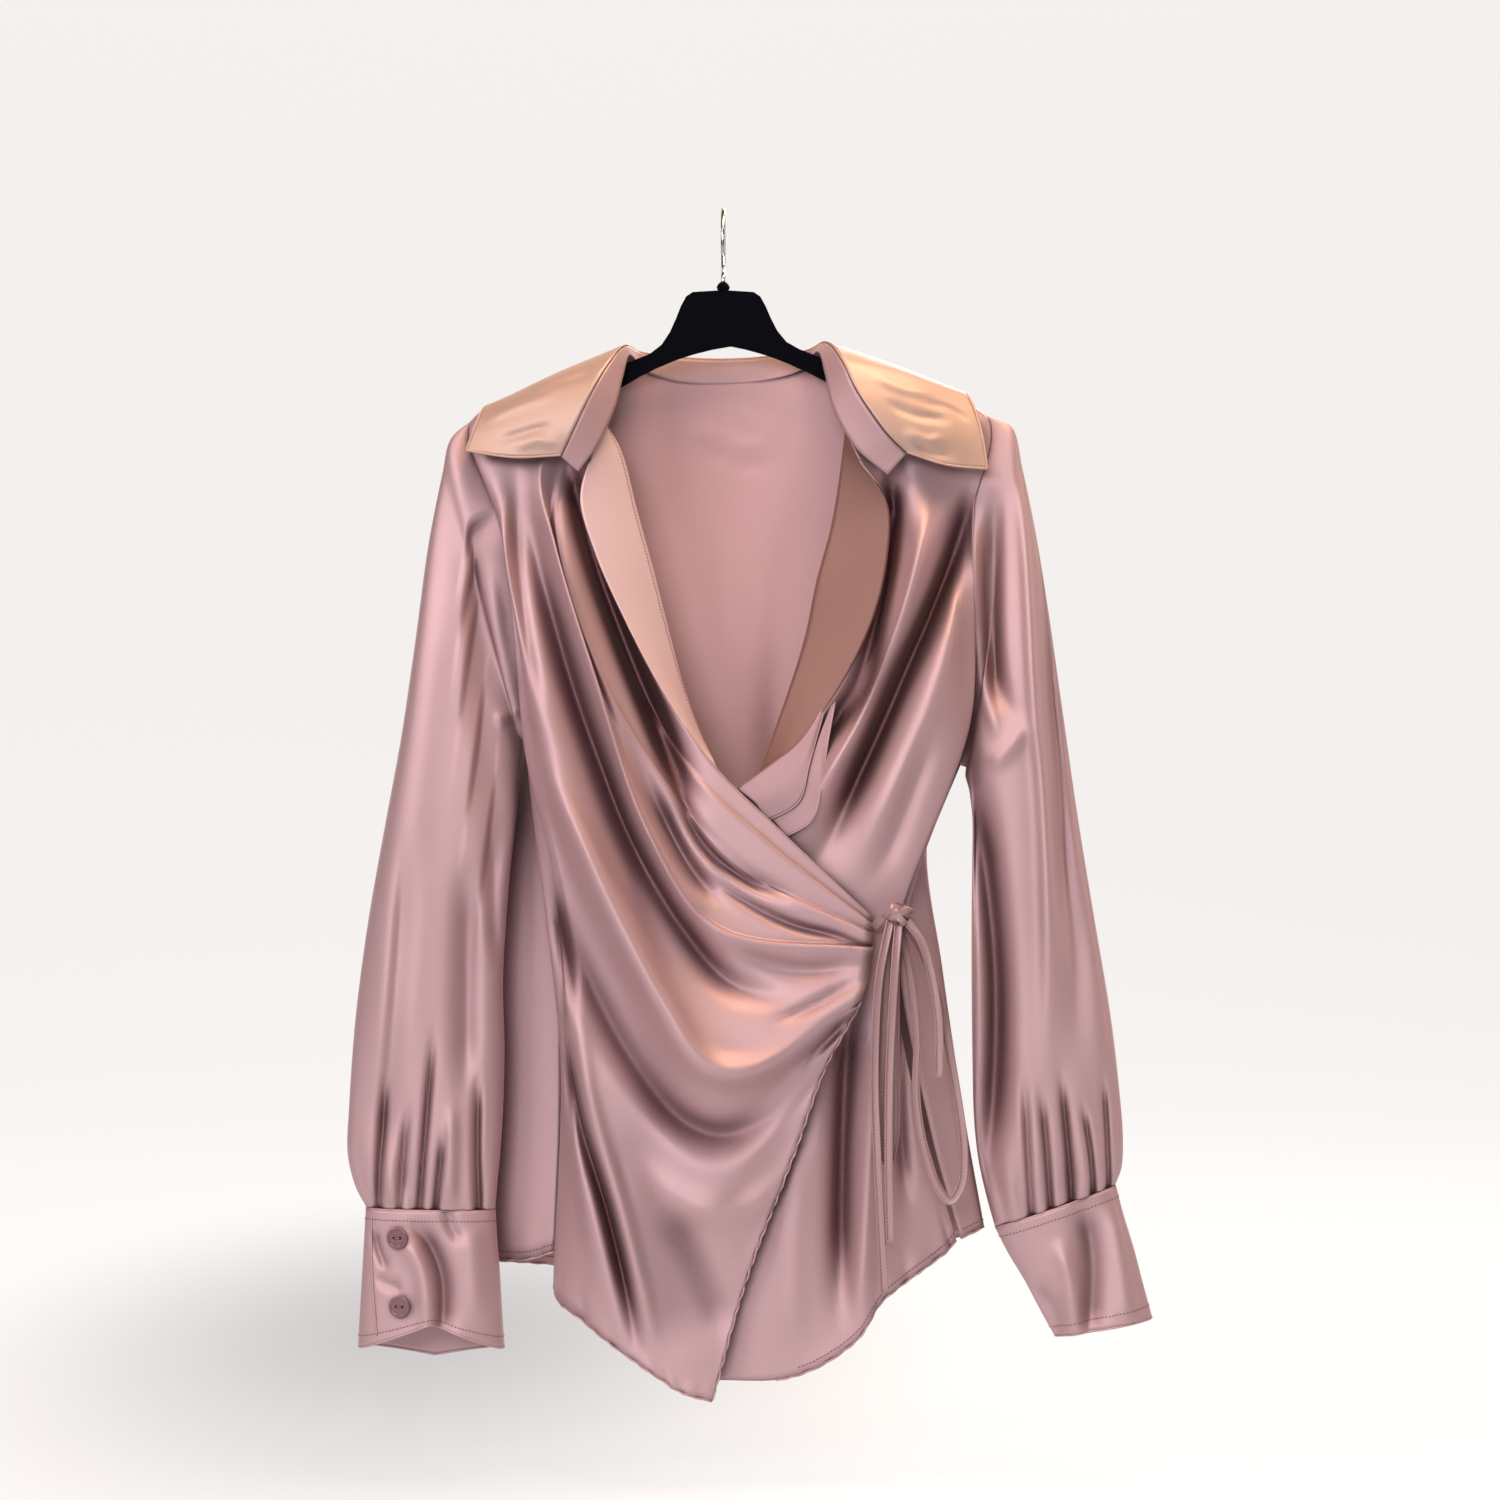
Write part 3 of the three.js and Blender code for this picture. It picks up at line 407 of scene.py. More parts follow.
def layOn(grid, line, steps=10, lift=0.0):
    # a line drawn from the front, laid on the nearest front points of a cloth
    near = grid.reshape(-1, 3)
    near = near[near[:, 1] < 0]
    out = []
    for x, z in alongLine(line, steps):
        away = np.hypot(near[:, 0] - x, near[:, 2] - z)
        pick = np.argsort(away)[:4]
        weight = 1 / (away[pick] + 0.3)
        out.append((x, (near[pick, 1] * weight).sum() / weight.sum() - lift, z))
    return np.array(out)


# where a stitch's four rings stand along it, and how thick each is
stitchRings = ((-0.5, 0.35), (-0.2, 1), (0.2, 1), (0.5, 0.35))
stitchCorners = ((1, 0), (0, 1), (-1, 0), (0, -1))
stitchLook = {"radius": 0.3, "flatness": 0.7, "sway": 0.08}


def stitches(name, on, route, normals, pitch=2.6, long=1.7, lift=0.65):
    # one mesh of small stitches that follow a route on the cloth
    joined = evenly(np.concatenate([route, normals], axis=1), pitch)
    single = tubeFaces(len(stitchRings), len(stitchCorners))
    points, faces = [], []
    for here, after in zip(joined[:-1], joined[1:]):
        ahead = unit(after[:3] - here[:3])
        up = here[3:]
        side = unit(np.cross(ahead, up))
        middle = here[:3] + up * lift + side * rng.normal(0, stitchLook["sway"])
        faces += [tuple(len(points) + k for k in face) for face in single]
        for along, size in stitchRings:
            for a, b in stitchCorners:
                corner = (side * a + up * b * stitchLook["flatness"]) * stitchLook["radius"] * size
                points.append(middle + ahead * along * long + corner)
    meshPiece(name, points, faces, threadPink, on=on, smooth=False)


rollLook = {"pitch": 1.6, "sides": 8, "turnPerStep": 0.9, "sideways": 0.7, "fadeSteps": 6}


def edgeRoll(name, on, route, radius=0.75, wave=0.0, finish=satinFront):
    # the turned edge of the cloth, with little waves where it is a rolled hem
    route = evenly(route, rollLook["pitch"])
    if wave:
        steps = np.cumsum(rng.uniform(0.5, 1.5, len(route))) * rollLook["turnPerStep"]
        side = unit(np.cross(np.gradient(route, axis=0), (0, 1, 0)))
        count = np.arange(len(route))
        fade = np.clip(np.minimum(count, count[::-1]) / rollLook["fadeSteps"], 0, 1)[:, None]
        sway = side * np.sin(steps)[:, None] * rollLook["sideways"]
        sway += np.array([0, 1, 0]) * np.cos(steps * 0.8)[:, None]
        route = route + sway * wave * fade
    roundTube(name, route, radius, finish, on=on, sides=rollLook["sides"])


def strapMesh(node, path, width, thick, roll=0.0):
    # a flat strap along a path, its face to the viewer, turned by roll from end to end
    ahead = unit(np.gradient(path, axis=0))
    side = unit(np.cross(ahead, (0, 1, 0)))
    face = np.cross(side, ahead)
    angle = roll * np.sin(np.linspace(0, math.pi * 2, len(path)))[:, None]
    across = side * np.cos(angle) + face * np.sin(angle)
    up = np.cross(across, ahead)
    # half of the section, from edge to edge: the rims stand up, where the strap is stitched
    half = [(-1, 0.25), (-0.86, 0.9), (-0.7, 0.55), (0, 0.75), (0.7, 0.55), (0.86, 0.9), (1, 0.25)]
    section = half + [(a, -b) for a, b in reversed(half)]
    points = np.array([path + across * (a * width / 2) + up * (b * thick / 2) for a, b in section])
    points = np.swapaxes(points, 0, 1).reshape(-1, 3)
    faces = tubeFaces(len(path), len(section))
    return meshPiece(pieceName(node), points, faces, satinTie, node)


# Ties: flat straps of satin; the routes are those of the solids
ties = {
    "width": 5.5,
    "thick": 1.8,
    "endRoll": 0.25,
    "routes": {
        "tie_loop_right": [
            (118, -44.5, -464.6), (130, -43, -486), (141, -42, -520), (150, -41, -566), (156, -41, -612),
            (154, -41, -636), (147, -41, -645), (138, -41, -634), (128, -41, -600), (125, -41, -572),
            (126, -41.5, -540), (122, -42.5, -500), (114.5, -44, -467)],
        "tie_loop_left": [
            (109.6, -48, -465.2), (106, -46, -490), (104, -44, -530), (102, -43, -575), (102.5, -43, -608),
            (107, -43, -620), (111, -43, -606), (111.5, -44, -560), (111.5, -46, -510),
                (111.5, -48.5, -467)],
        "tie_end_right": [
            (118.6, -50, -463.4), (128, -50, -476), (135, -49, -500), (139.5, -48.5, -530),
                (139.5, -48, -565)],
        "tie_end_left_short": [
            (113.5, -51.6, -464.4), (110.5, -55, -500), (107.5, -52, -560), (107, -51, -620),
                (108, -50, -672)],
        "tie_end_left_long": [
            (108.2, -50.6, -463.4), (101, -52.5, -500), (98, -51, -560), (100, -50, -620),
                (102, -49, -660),
            (104.5, -48, -704)],
    },
    "strap": [(98, -38.6, -468), (101, -43, -464.5), (104.5, -45.8, -460.4)],
    "knot": [
        (104.5, -46, -461), (108, -50, -458), (113, -53.5, -457), (118, -50.5, -459), (119.5, -46, -462),
        (115, -44, -465.5), (109.5, -47, -466), (109, -51.5, -462), (113.5, -54.5, -459),
            (119, -52, -456.5),
        (121, -47.5, -457.5), (116.5, -45, -455), (111, -48, -453.5), (110.5, -52, -457.5),
            (115, -54.5, -462.5),
        (117.5, -51, -465.5)],
    "knotWidth": 4.4,
    "knotThick": 1.9,
    "knotRoll": 0.5,
}
tiePaths = []
for node, route in ties["routes"].items():
    path = alongLine(route, 10)
    isLoop = "loop" in node
    piece = strapMesh(node, path, ties["width"], ties["thick"], 0.0 if isLoop else ties["endRoll"])
    tiePaths.append((piece, path))
strapMesh("tie_strap", alongLine(ties["strap"], 10), ties["width"], ties["thick"])
strapMesh("tie_knot", alongLine(ties["knot"], 8), ties["knotWidth"], ties["knotThick"], ties["knotRoll"])
print("ties made")


# The hanger's arms carry the shoulders: where each arm's top starts, and how it falls
armLines = {
    "left": {"neckX": -48, "neckZ": -93, "slope": 0.403},
    "right": {"neckX": 50, "neckZ": -90, "slope": 0.385},
}


def armTop(x):
    arm = armLines["left" if x < 0 else "right"]
    return arm["neckZ"] - arm["slope"] * abs(x - arm["neckX"])


def overArm(x, side, points):
    # a line that starts on the arm, with side -1 for the front and 1 for the back
    top = armTop(x)
    return [(x, side * 0.9, top + 3), (x, side * 6.6, top - 2), *points]


def fromEdge(start, points):
    # a line that starts at a seam, with one more point just beside it
    near = [a + (b - a) * 0.12 for a, b in zip(start, points[0])]
    return [start, near, *points]


# The front that crosses over to the tie
frontOver = {
    "lines": [
        overArm(-66, -1, [(-85, -26, -161), (-93, -29, -188), (-63, -31, -270), (-11, -34, -357),
            (38, -35, -406), (97, -34, -462)]),
        overArm(-74, -1, [(-94, -22, -164), (-101, -26, -197), (-72, -30, -279), (-25, -37, -361),
            (28, -38, -412), (97, -37, -467)]),
        overArm(-84, -1, [(-102, -18, -167), (-109, -23, -205), (-82, -26, -298), (-30, -38, -384),
            (14, -41, -432), (97, -40, -473)]),
        overArm(-91, -1, [(-109, -17, -170), (-112, -22, -212), (-84, -24, -302), (-40, -31, -398),
            (2, -38, -452), (97, -40, -477)]),
        overArm(-99, -1, [(-119, -22, -172), (-109, -31, -219), (-84, -38, -300), (-47, -42, -408),
            (-4, -46, -468), (97, -43, -482)]),
        overArm(-122, -1, [(-133, -15, -174), (-121, -22, -228), (-98, -29, -300), (-64, -33, -404),
            (-16, -39, -490), (95.5, -40, -494)]),
        overArm(-165, -1, [(-147, -18, -184), (-137, -28, -242), (-114, -41, -340), (-64, -50, -470),
            (-8, -56, -555), (91, -44, -512)]),
        fromEdge((-147, -11, -196), [(-143, -14, -222), (-134, -19, -275), (-118, -26, -366),
            (-74, -34, -495), (-8, -40, -597), (84, -38, -527)]),
        fromEdge((-133, -12.5, -272), [(-130.5, -13, -312), (-128, -14, -360), (-108, -26, -430),
            (-80, -36, -541), (-8, -44, -628), (68, -36, -556)]),
        fromEdge((-128, -3, -348), [(-126, -7, -376), (-114, -14, -397), (-106, -22, -480),
            (-90, -34, -572), (-30, -42, -668), (46, -35, -616)]),
        fromEdge((-107, 3, -548), [(-105.5, 0, -572), (-102, -8, -604), (-88, -26, -650), (-62, -36, -692),
            (-30, -38, -722), (16, -34, -695)]),
        fromEdge((-111.5, 3, -706), [(-108.6, -2, -714), (-93, -16, -725), (-70, -28, -742),
            (-46, -34, -758), (-27, -34, -770), (-7, -32, -776)]),
    ],
    # line seen from the front, width, height, lean
    "folds": [
        ([(-97, -500), (-91, -560), (-82, -600), (-66, -655), (-53, -705), (-42, -752)], 6, 6),
        ([(-104, -520), (-99, -560), (-92, -597), (-76, -650), (-64, -700), (-52, -760)], 5.5, -14),
        ([(-74, -560), (-44, -670), (-24, -770)], 26, -6.5),
        ([(-99, -150), (-96, -180), (-84, -228), (-66, -278), (-47, -326), (-30, -369),
            (-14, -405)], 9.5, -24, 0.1),
        ([(-112, -180), (-107, -211), (-99, -251), (-81, -306), (-65, -352), (-55, -389), (-44, -415),
            (-23, -452), (-10, -466)], 8, 10),
        ([(-128, -150), (-123, -216), (-112, -264), (-96, -321), (-78, -368), (-60, -410), (-44, -439),
            (-23, -473), (3, -504), (31, -514), (62, -509)], 8, -12, 0.1),
        ([(-131, -310), (-126, -340), (-112, -374), (-91, -413), (-75, -447), (-55, -486), (-34, -520),
            (-20, -545), (-4, -558), (16, -559), (38, -550), (63, -533), (86, -515)], 9, 11, -0.2),
        ([(-120, -400), (-108, -450), (-84, -510), (-56, -560), (-28, -592), (0, -602), (30, -590),
            (60, -560)], 11, -10),
        ([(-137, -180), (-134, -230), (-126, -290), (-118, -330)], 5, -6),
        ([(-141, -180), (-143, -226), (-139, -272), (-132, -312)], 4, 4),
        ([(-34, -366), (-20, -402), (-3, -424), (22, -440), (50, -450)], 4.5, -11),
        ([(-12, -432), (16, -452), (50, -468), (84, -474)], 3.5, -6),
        ([(-48, -376), (-36, -404), (-20, -432), (4, -458)], 5, -7, 0.2),
        ([(0, -478), (30, -492), (62, -496), (92, -486)], 6, -4),
        ([(60, -470), (84, -478), (95, -486)], 3, -3),
        ([(30, -530), (60, -518), (92, -498)], 4, -5),
        ([(48, -556), (66, -542), (84, -520)], 4, -5),
        ([(-60, -610), (-28, -646), (16, -650), (48, -620)], 10, 5),
        ([(-40, -640), (-14, -690), (6, -740)], 12, -5),
        ([(-110, -440), (-104, -480), (-96, -530)], 5, -6),
    ],
    # steps down the cloth from point to point, and across it: first line, last line, steps
    "along": [3, 14, 12, 14, 14, 14, 14],
    "bands": [(0, 1, 7), (1, 2, 3), (2, 3, 7), (3, 4, 3), (4, 6, 8), (6, 7, 3), (7, 14, 12)],
    "tuckDepths": (2.6, 3, 4),
    "flat": {"size": (0.30, 0.72), "area": 0.125, "held": "gathered"},
}


def tucked(edge, above, depth):
    # the hidden bottom of a pleat, just above its edge and deeper from the shoulder down
    share = np.maximum(0, np.arange(len(edge)) - 2) / (len(edge) - 3)
    toward = above - edge
    far = np.linalg.norm(toward, axis=1, keepdims=True)
    moved = edge + toward / far * np.minimum(1.8, 0.4 * far)
    moved[:, 1] += depth * share
    return moved


over = [np.array(line, float) for line in frontOver["lines"]]
tuckOne, tuckTwo, tuckThree = frontOver["tuckDepths"]
overRows = [over[0], tucked(over[1], over[0], tuckOne), over[1], tucked(over[2], over[1], tuckTwo), over[2],
            over[3], tucked(over[4], over[3], tuckThree), over[4], *over[5:]]
overGrid = panelGrid(overRows, frontOver["along"], frontOver["bands"])
# the folds also give the painted shade in the troughs of this front
overShade = fold(overGrid, frontOver["folds"])
ripple(overGrid[:, 3:], 1.5, 4)
ripple(np.swapaxes(overGrid[68:], 0, 1), 1.6, 3)
overCloth = clothPiece("frontOver", overGrid, satinFront, "front_over",
                       hollow=overShade)
overNormals = gridNormals(overGrid)
# below row 66 the edge hangs free of the tie
edgeRoll("overFreeEdge", overCloth, overGrid[66:, -1], 0.7, 0.5)
edgeRoll("overHem", overCloth, overGrid[-1], 0.7, 0.35)
edgeRoll("overNeckEdge", overCloth, overGrid[0, 18:], 0.55)
stitches("overHemStitch", overCloth, inset(overGrid, 5)[2:-3], overNormals[-2, 2:-3])
freeEdgeLine = inset(np.swapaxes(overGrid, 0, 1), 4.5)
stitches("overFreeEdgeStitch", overCloth, freeEdgeLine[70:-2], overNormals[70:-2, -2])
print("crossing front made")

# The front that passes behind
frontUnder = {
    "lines": [
        overArm(67, -1, [(87, -26, -161), (107, -28, -192), (96, -30, -272), (42, -27, -357),
            (-5, -24, -396), (-70, -20, -452)]),
        overArm(84, -1, [(104, -21, -168), (119, -27, -214), (106, -34, -282), (58, -29, -374),
            (2, -24, -420), (-72, -20, -466)]),
        overArm(104, -1, [(126, -19, -172), (128, -36, -228), (110, -41, -283), (70, -34, -372),
            (10, -24, -442), (-74, -20, -482)]),
        overArm(132, -1, [(145, -14, -170), (146, -19, -229), (124, -25, -295), (90, -25, -378),
            (22, -22, -468), (-70, -19, -508)]),
        overArm(173, -1, [(159, -12, -174), (152, -17, -236), (140, -29, -300), (106, -32, -392),
            (44, -22, -476), (-62, -18, -535)]),
        fromEdge((164, -12, -193), [(160, -13, -222), (155, -18, -268), (143, -30, -325), (111, -30, -412),
            (52, -22, -496), (-58, -18, -562)]),
        fromEdge((163, -12.5, -268), [(164, -15, -300), (162, -19, -330), (148, -25, -372),
            (115, -27, -436), (60, -22, -520), (-52, -18, -590)]),
        fromEdge((154, -3, -362), [(146, -8, -378), (135, -12, -402), (115, -18, -446), (104, -24, -500),
            (60, -24, -580), (-42, -19, -640)]),
        fromEdge((111, -12, -470), [(111, -15, -492), (109, -20, -518), (100, -25, -560), (80, -27, -602),
            (40, -26, -645), (-30, -20, -690)]),
        fromEdge((121, -13, -560), [(119, -17, -580), (113, -22, -602), (99, -26, -636), (78, -28, -668),
            (36, -26, -700), (-18, -20, -728)]),
        fromEdge((152.5, -11, -674), [(146, -14, -681), (122, -20, -698), (104, -24, -712), (86, -27, -738),
            (46, -26, -761), (-8, -20, -764)]),
    ],
    "folds": [
        ([(108, -500), (98, -590), (92, -680), (88, -738)], 7, 7),
        ([(84, -500), (78, -600), (76, -740)], 9, -13),
        ([(118, -500), (114, -580), (120, -660)], 6, -8),
        ([(50, -600), (44, -680), (44, -750)], 10, 4),
        ([(112, -150), (110, -190), (105, -250), (92, -306), (71, -342), (54, -368)], 9, -18),
        ([(140, -185), (131, -214), (107, -274), (86, -321), (71, -360), (58, -395)], 7, 9),
        ([(163, -165), (159, -196), (135, -264), (116, -306), (98, -347), (80, -387),
            (64, -426)], 8.5, -17),
        ([(158, -236), (146, -280), (128, -330), (104, -384), (84, -430)], 11, 6),
        ([(140, -330), (118, -390), (100, -440)], 8, -4),
    ],
    "along": [3, 12, 10, 14, 14, 10, 8],
    "bands": [(0, 10, 12)],
    "flat": {"size": (0.27, 0.66), "area": 0.102, "held": "hung"},
}
underGrid = panelGrid(frontUnder["lines"], frontUnder["along"], frontUnder["bands"])
# the folds also give the painted shade in the troughs of this front
underShade = fold(underGrid, frontUnder["folds"])
ripple(underGrid[:, 3:-8], 1.5, 4)
underCloth = clothPiece("frontUnder", underGrid, satinFront, "front_under",
                        hollow=underShade)
underNormals = gridNormals(underGrid)
edgeRoll("underHem", underCloth, underGrid[-1, :-6], 0.7, 0.35)
edgeRoll("underNeckEdge", underCloth, underGrid[0, 16:], 0.55)
stitches("underHemStitch", underCloth, inset(underGrid, 5)[2:-8], underNormals[-2, 2:-8])

# two laid folds of the facing, beside the crossing; they go with the front and carry an even painted shade
crossingShade = 0.55
crossingFolds = {
    "crossingFoldOne": [
        [(8, -28.5, -379), (31, -29, -362), (50, -28.5, -347), (63, -26, -328), (72, -22, -308)],
        [(20, -31, -388), (42, -33, -374), (54, -31.5, -354), (63, -27, -332), (72, -22, -308)],
        [(27, -31.5, -400), (49, -34.5, -387), (56, -33, -363), (63, -28, -338), (72, -22, -308)],
    ],
    "crossingFoldTwo": [
        [(22, -29.5, -392), (46, -31.5, -380), (56, -30.5, -360), (65, -27, -338), (75, -22, -312)],
        [(34, -31, -402), (55, -34, -390), (62, -33.5, -368), (67, -28.5, -344), (75, -22, -312)],
        [(38, -31.5, -411), (58, -36, -398), (64, -35, -376), (68, -30, -350), (75, -22, -312)],
    ],
}
for name, lines in crossingFolds.items():
    grid = panelGrid(lines, 12, [(0, 2, 8)])
    laid = clothPiece(name, grid, satinFront, hollow=np.full(grid.shape[:2], crossingShade), on=underCloth)
    edgeRoll(name + "Edge", laid, grid[-1], 0.5)
print("passing front made")

# Back, from the left side seam to the right one
back = {
    "lines": [
        fromEdge((-129, 1.5, -344), [(-122, 3, -372), (-114, 5, -420), (-108, 6.5, -500),
            (-107.5, 6.5, -590), (-111, 6.5, -683)]),
        fromEdge((-131, 9, -328), [(-130, 10, -370), (-128, 12, -420), (-126, 13, -500), (-127, 13, -590),
            (-130, 12, -689)]),
        fromEdge((-131, 15, -306), [(-135, 18, -360), (-142, 20, -415), (-148, 20, -500), (-151, 20, -590),
            (-152, 20, -690)]),
        fromEdge((-137, 17, -250), [(-128, 24, -320), (-126, 27, -400), (-126, 27, -490), (-126, 27, -590),
            (-124, 28, -693)]),
        fromEdge((-149, 13, -193), [(-120, 23, -270), (-104, 29, -370), (-100, 29, -480), (-98, 29, -590),
            (-95, 30, -696)]),
        overArm(-165, 1, [(-130, 18, -215), (-85, 28, -340), (-75, 29, -470), (-73, 29, -590),
            (-70, 30, -699)]),
        overArm(-118, 1, [(-85, 21, -210), (-55, 28, -340), (-48, 29, -470), (-46, 28, -590),
            (-44, 29, -701)]),
        overArm(-69, 1, [(-44, 24, -200), (-26, 28, -340), (-22, 28, -470), (-22, 28, -590),
            (-20, 28, -703)]),
        fromEdge((-54, 14, -101), [(-32, 25, -200), (-19, 28, -340), (-17, 28, -470), (-17, 28, -590),
            (-15, 28, -703)]),
        fromEdge((-30, 21.5, -109.5), [(-20, 26, -200), (-12, 28, -340), (-11, 28, -470), (-11, 28, -590),
            (-10, 28, -704)]),
        fromEdge((0, 23.5, -110.5), [(0, 27, -200), (0, 28, -340), (0, 28, -470), (0, 28, -590),
            (0, 28, -704)]),
        fromEdge((30, 21.5, -108.5), [(20, 26, -200), (12, 28, -340), (11, 28, -470), (11, 28, -590),
            (10, 28, -704)]),
        fromEdge((55, 15.5, -101), [(33, 25, -200), (20, 28, -340), (17, 28, -470), (17, 28, -590),
            (16, 28, -703)]),
        overArm(67, 1, [(46, 24, -200), (28, 28, -340), (24, 28, -470), (24, 28, -590), (22, 28, -703)]),
        overArm(118, 1, [(90, 21, -210), (60, 28, -340), (50, 29, -470), (50, 28, -590), (50, 29, -700)]),
        overArm(173, 1, [(138, 18, -215), (96, 28, -340), (78, 28, -470), (78, 29, -590), (84, 29, -696)]),
        fromEdge((164, 13, -194), [(148, 22, -265), (124, 27, -370), (102, 25, -475), (108, 26, -590),
            (118, 26, -688)]),
        fromEdge((164, 16, -272), [(156, 18, -325), (134, 18, -400), (128, 16, -478), (140, 16, -590),
            (150, 16, -676)]),
        fromEdge((165, 10, -325), [(148, 6, -375), (133, 3, -415), (144, 1, -500), (158, 1, -593),
            (171, 0, -666)]),
        fromEdge((156, 1.5, -362), [(141, -2, -397), (125, -7, -434), (115, -10, -484), (136, -10.5, -603),
            (155.5, -8.5, -673)]),
    ],
    "folds": [
        ([(-40, -300), (-46, -450), (-52, -560), (-56, -730)], 12, -8),
        ([(34, -260), (36, -420), (40, -560), (46, -730)], 12, -9),
        ([(-4, -380), (-6, -520), (-8, -700)], 12, 5),
        ([(-90, -240), (-96, -380), (-92, -520), (-88, -690)], 9, -4),
        ([(80, -300), (70, -420), (74, -560), (84, -690)], 9, 4),
        ([(104, -330), (100, -440), (112, -560), (124, -680)], 7, -5),
        ([(-112, -300), (-100, -420), (-104, -560), (-112, -680)], 8, -5),
        ([(-20, -138), (0, -150), (24, -152), (44, -146)], 3.5, 1.6),
        ([(-16, -150), (10, -160), (34, -162)], 3, -1.5),
        ([(-34, -130), (-22, -142), (-4, -142)], 3, 1.2),
        ([(8, -128), (26, -138), (40, -136)], 3, 1.2),
    ],
    "along": [3, 12, 10, 9, 9, 9],
    "bands": [(0, 19, 7)],
    "foldsBehind": 12,
    "flat": {"size": (0.42, 0.61), "area": 0.21, "held": "hung"},
}
backGrid = panelGrid(back["lines"], back["along"], back["bands"])
backShade = fold(backGrid, back["folds"], lambda points: points[:, 1] > back["foldsBehind"])
ripple(np.swapaxes(backGrid[3:-3], 0, 1), 0.9, 3)
# the back carries half of its folds' painted shade
backCloth = clothPiece("backPanel", backGrid, satinFront, "back",
                       hollow=backShade * 0.5, reverse=satinInside)
backNormals = gridNormals(backGrid)
edgeRoll("backHem", backCloth, backGrid[:, -1], 0.7, 0.35)
backHemLine = inset(np.swapaxes(backGrid, 0, 1), 5)
stitches("backHemStitchInside", backCloth, backHemLine, backNormals[:, -2])
stitches("backHemStitchOutside", backCloth, backHemLine, -backNormals[:, -2])
print("back made")

# Facings inside the neck
facings = {
    "facingOver": {
        "node": "facing_over",
        "neckEdge": frontOver["lines"][0],
        "inner": [(-80, -14, -136), (-73, -13, -146), (-66, -13, -160), (-57, -14, -195), (-46, -15, -235),
            (-33.5, -16, -284), (-25.5, -18, -313), (-14, -24, -344), (-6, -31, -360)],
        "along": [0.225, 0.27, 0.35, 0.435, 0.5, 0.57, 0.64, 0.7, 0.735],
        "outward": 1,
        "finish": satinFacingLit,
        "flat": {"size": (0.04, 0.24), "area": 0.0062, "held": "hung"},
    },
    "facingUnder": {
        "node": "facing_under",
        "neckEdge": frontUnder["lines"][0],
        "inner": [(80, -8, -130), (80, -10, -142), (78, -12, -162), (71.5, -12, -204), (61, -12, -244),
            (54, -12, -278), (42, -12, -317), (26, -16, -362), (22, -20, -374)],
        "along": [0.225, 0.27, 0.35, 0.435, 0.5, 0.56, 0.63, 0.7, 0.76],
        "outward": -1,
        "finish": satinShade,
        "flat": {"size": (0.045, 0.26), "area": 0.0082, "held": "hung"},
    },
}
behindEdge = 1.9
for name, facing in facings.items():
    # the outer edge keeps just behind the neck edge, at these shares of its length
    fine = alongLine(facing["neckEdge"], 40)
    places = np.array(facing["along"]) * (len(fine) - 1)
    edge = np.array([fine[int(round(place))] for place in places]) + (0, behindEdge, 0)
    inner = np.array(facing["inner"], float)
    between = (edge + inner) / 2 + (0, -1, 0)
    grid = panelGrid([edge, between, inner], 12, [(0, 2, 10)])
    cloth = clothPiece(name, grid, facing["finish"], facing["node"])
    stitches(name + "Stitch", cloth, grid[-2], facing["outward"] * gridNormals(grid)[-2],
             pitch=2.2, long=1.3)
    edgeRoll(name + "Edge", cloth, grid[-1], 0.5, finish=facing["finish"])
print("facings made")

# Collar: band and fall
collar = {
    "lines": [
        # neck seam, fold line, outer edge
        ((-94, -30, -172), (-105, -33, -162.5), (-167, -27, -158)),
        ((-83, -29, -157), (-97, -36, -146), (-162, -21, -143)),
        ((-71, -22, -131), (-84, -33, -119), (-158, -13, -132)),
        ((-65.5, -12, -108), (-74, -22, -101), (-154, -4, -127)),
        ((-61.5, 0, -93.2), (-64, 0, -88), (-148, 7, -127)),
        ((-51, 14, -101), (-54, 17, -91), (-128, 24, -135)),
        ((-28, 21.5, -107.3), (-30, 26, -93.5), (-72, 35, -153)),
        ((0, 23.5, -108.5), (0, 28, -94.6), (0, 38, -158)),
        ((28, 21.5, -106.3), (30, 26, -93), (74, 35, -151)),
        ((51, 14, -100), (55, 17, -90), (132, 24, -129)),
        ((62, 0, -91), (67, 0, -86), (153, 7, -119)),
        ((67, -12, -108), (77, -22, -99), (159, -4, -119)),
        ((72, -22, -131), (88, -33, -122), (164, -13, -129)),
        ((87, -29, -157), (107, -36, -149), (169, -21, -148)),
        ((107, -30, -174), (119, -33, -160.5), (172, -27, -170)),
    ],
    # line seen from the front, width, height
    "wrinkles": [
        ([(-158, -140), (-130, -128), (-104, -122)], 3, 1.6),
        ([(-150, -154), (-126, -146), (-108, -142)], 2.6, -1.8),
        ([(-136, -158), (-120, -152), (-106, -156)], 2.4, 1.4),
        ([(-120, -116), (-96, -112), (-84, -106)], 2.6, -1.5),
        ([(-148, -128), (-136, -120), (-118, -116)], 2.2, -1.3),
        ([(96, -108), (116, -118), (142, -122)], 3, 1.7),
        ([(104, -126), (126, -136), (150, -138)], 2.8, -1.9),
        ([(116, -144), (132, -152), (146, -150)], 2.4, 1.6),
        ([(128, -128), (146, -130), (162, -140)], 2.2, -1.4),
        ([(122, -152), (136, -160), (152, -162)], 2.4, -1.6),
    ],
    "wrinklesBefore": 12,
    "wall": 1.0,
    "rise": 1.1,
    "seamDrop": 2.4,
    "standFlat": {"size": (0.40, 0.03), "area": 0.0052, "held": "folded"},
    "fallFlat": {"size": (0.46, 0.1), "area": 0.03, "held": "folded"},
}
seamLine, rollLine, fallEdge = (np.array([row[i] for row in collar["lines"]], float) for i in range(3))
